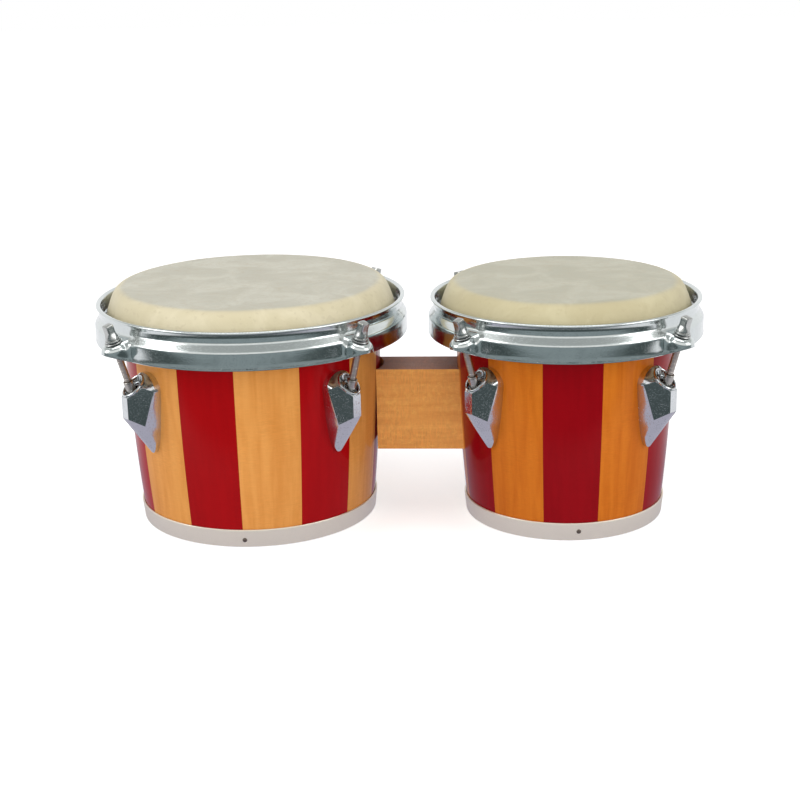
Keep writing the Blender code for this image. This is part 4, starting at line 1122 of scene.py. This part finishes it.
def make_floor():
    """A white floor that keeps the object's shadow; to metal it glows with a painted reflection: painted
    shadow round the object, and farther out in front a dim room.
    """
    material, tree, shader, where = finish("floor_white", (0.80, 0.80, 0.80), 0.9, Specular_IOR_Level=0.0)
    work = bmesh.new()
    bmesh.ops.create_grid(work, x_segments=1, y_segments=1, size=6.0)
    floor = new_object("floor", to_mesh("floor", work), material)
    floor.data.transform(Matrix.Translation((0, 0, -0.0004)))
    light = tree.nodes.new("ShaderNodeLightPath").outputs
    depth = split(tree, where)["Y"]
    spread = distance(tree, stretched(tree, where, (3.0, 4.2, 0.0)))
    # Painted shadow: the floor is darker round the drums, as metal sees it.
    table_with_painted_shadow = tint(tree, remap(tree, spread, 0.75, 1.5), FLOOR_NEAR_PAINTED_SHADOW, FLOOR_FAR)
    dusk = tint(tree, remap(tree, depth, -0.62, -0.48, 1.0, 0.0), FLOOR_SHADE, FLOOR_DUSK)
    mirrored = tint(tree, remap(tree, depth, -0.30, -0.19), dusk, table_with_painted_shadow)
    glow = add(tree, "ShaderNodeEmission", {"Color": STUDIO_WHITE, "Strength": FLOOR_GLOW})
    # The floor glows with this painted reflection for glossy rays only.
    dim = add(tree, "ShaderNodeEmission", {"Color": mirrored, "Strength": 1.0})
    lit = add(tree, "ShaderNodeAddShader", {0: shader.outputs[0], 1: glow})
    seen = add(tree, "ShaderNodeMixShader", {0: light["Is Camera Ray"], 1: shader.outputs[0], 2: lit})
    done = add(tree, "ShaderNodeMixShader", {0: light["Is Glossy Ray"], 1: seen, 2: dim})
    feed(tree, tree.nodes["Material Output"], Surface=done)


def make_world():
    """White all round to the camera; to metal, a white backdrop behind and a dim room in front."""
    world = bpy.data.worlds.new("studio")
    bpy.context.scene.world = world
    world.use_nodes = True
    tree = world.node_tree
    light = tree.nodes.new("ShaderNodeLightPath").outputs
    way = tree.nodes.new("ShaderNodeTexCoord").outputs["Generated"]
    parts = split(tree, way)
    room = tint(tree, remap(tree, noisy(tree, way, 5.0, 3.0, 0.6), 0.40, 0.62), ROOM_SHADE, ROOM_GLOW)
    sky = tint(tree, remap(tree, parts["Z"], 0.66, 0.75), SKY_LOW, SKY_HIGH)
    front = tint(tree, remap(tree, parts["Z"], 0.04, 0.14), room, sky)
    wall = tint(tree, remap(tree, parts["Z"], 0.40, 0.58), STUDIO_WHITE, WALL_HIGH)
    studio = tint(tree, remap(tree, parts["Y"], -0.10, 0.04), front, wall)
    ambient = tint(tree, light["Is Glossy Ray"], STUDIO_AMBIENT, studio)
    whole = tint(tree, light["Is Camera Ray"], ambient, STUDIO_WHITE)
    feed(tree, tree.nodes["Background"], Color=whole, Strength=1.0)


def make_lamp(name, place, size, power, target=(0.0, 0.0, 0.1), mirrored=True):
    lamp = bpy.data.lights.new(name, "AREA")
    lamp.shape = "RECTANGLE"
    lamp.size, lamp.size_y = size
    lamp.energy = power
    obj = new_object(name, lamp)
    obj.visible_glossy = mirrored
    obj.location = place
    obj.rotation_euler = (Vector(target) - Vector(place)).to_track_quat("-Z", "Y").to_euler()


def make_camera():
    """The camera at the photograph's angle."""
    camera = bpy.data.cameras.new("camera")
    camera.sensor_width = 36.0
    camera.lens = CAMERA_LENS
    camera.clip_start = 0.01
    camera.clip_end = 50.0
    obj = new_object("camera", camera)
    level = cos(CAMERA_PITCH)
    ahead = Vector((-sin(CAMERA_YAW) * level, cos(CAMERA_YAW) * level, -sin(CAMERA_PITCH)))
    right = Vector((cos(CAMERA_YAW), sin(CAMERA_YAW), 0.0))
    up = right.cross(ahead)
    across = right * cos(CAMERA_ROLL) + up * sin(CAMERA_ROLL)
    upward = up * cos(CAMERA_ROLL) - right * sin(CAMERA_ROLL)
    turn = Matrix((across, upward, -ahead)).transposed()
    obj.matrix_world = Matrix.Translation(CAMERA_PLACE) @ turn.to_4x4()
    bpy.context.scene.camera = obj


make_floor()
make_world()
make_lamp("softbox_top", (0.0, -0.25, 1.6), (1.5, 0.7), 6.0)
make_lamp("softbox_left", (-1.6, -0.7, 1.0), (0.9, 0.9), 7.5)
make_lamp("softbox_right", (1.6, -0.7, 1.0), (0.9, 0.9), 6.0)
make_lamp("front_fill", (0.1, -2.2, 0.6), (1.6, 1.0), 13.0, (0.0, 0.0, 0.08), mirrored=False)
make_camera()
bpy.context.scene.view_settings.view_transform = "Standard"

bpy.context.view_layer.update()
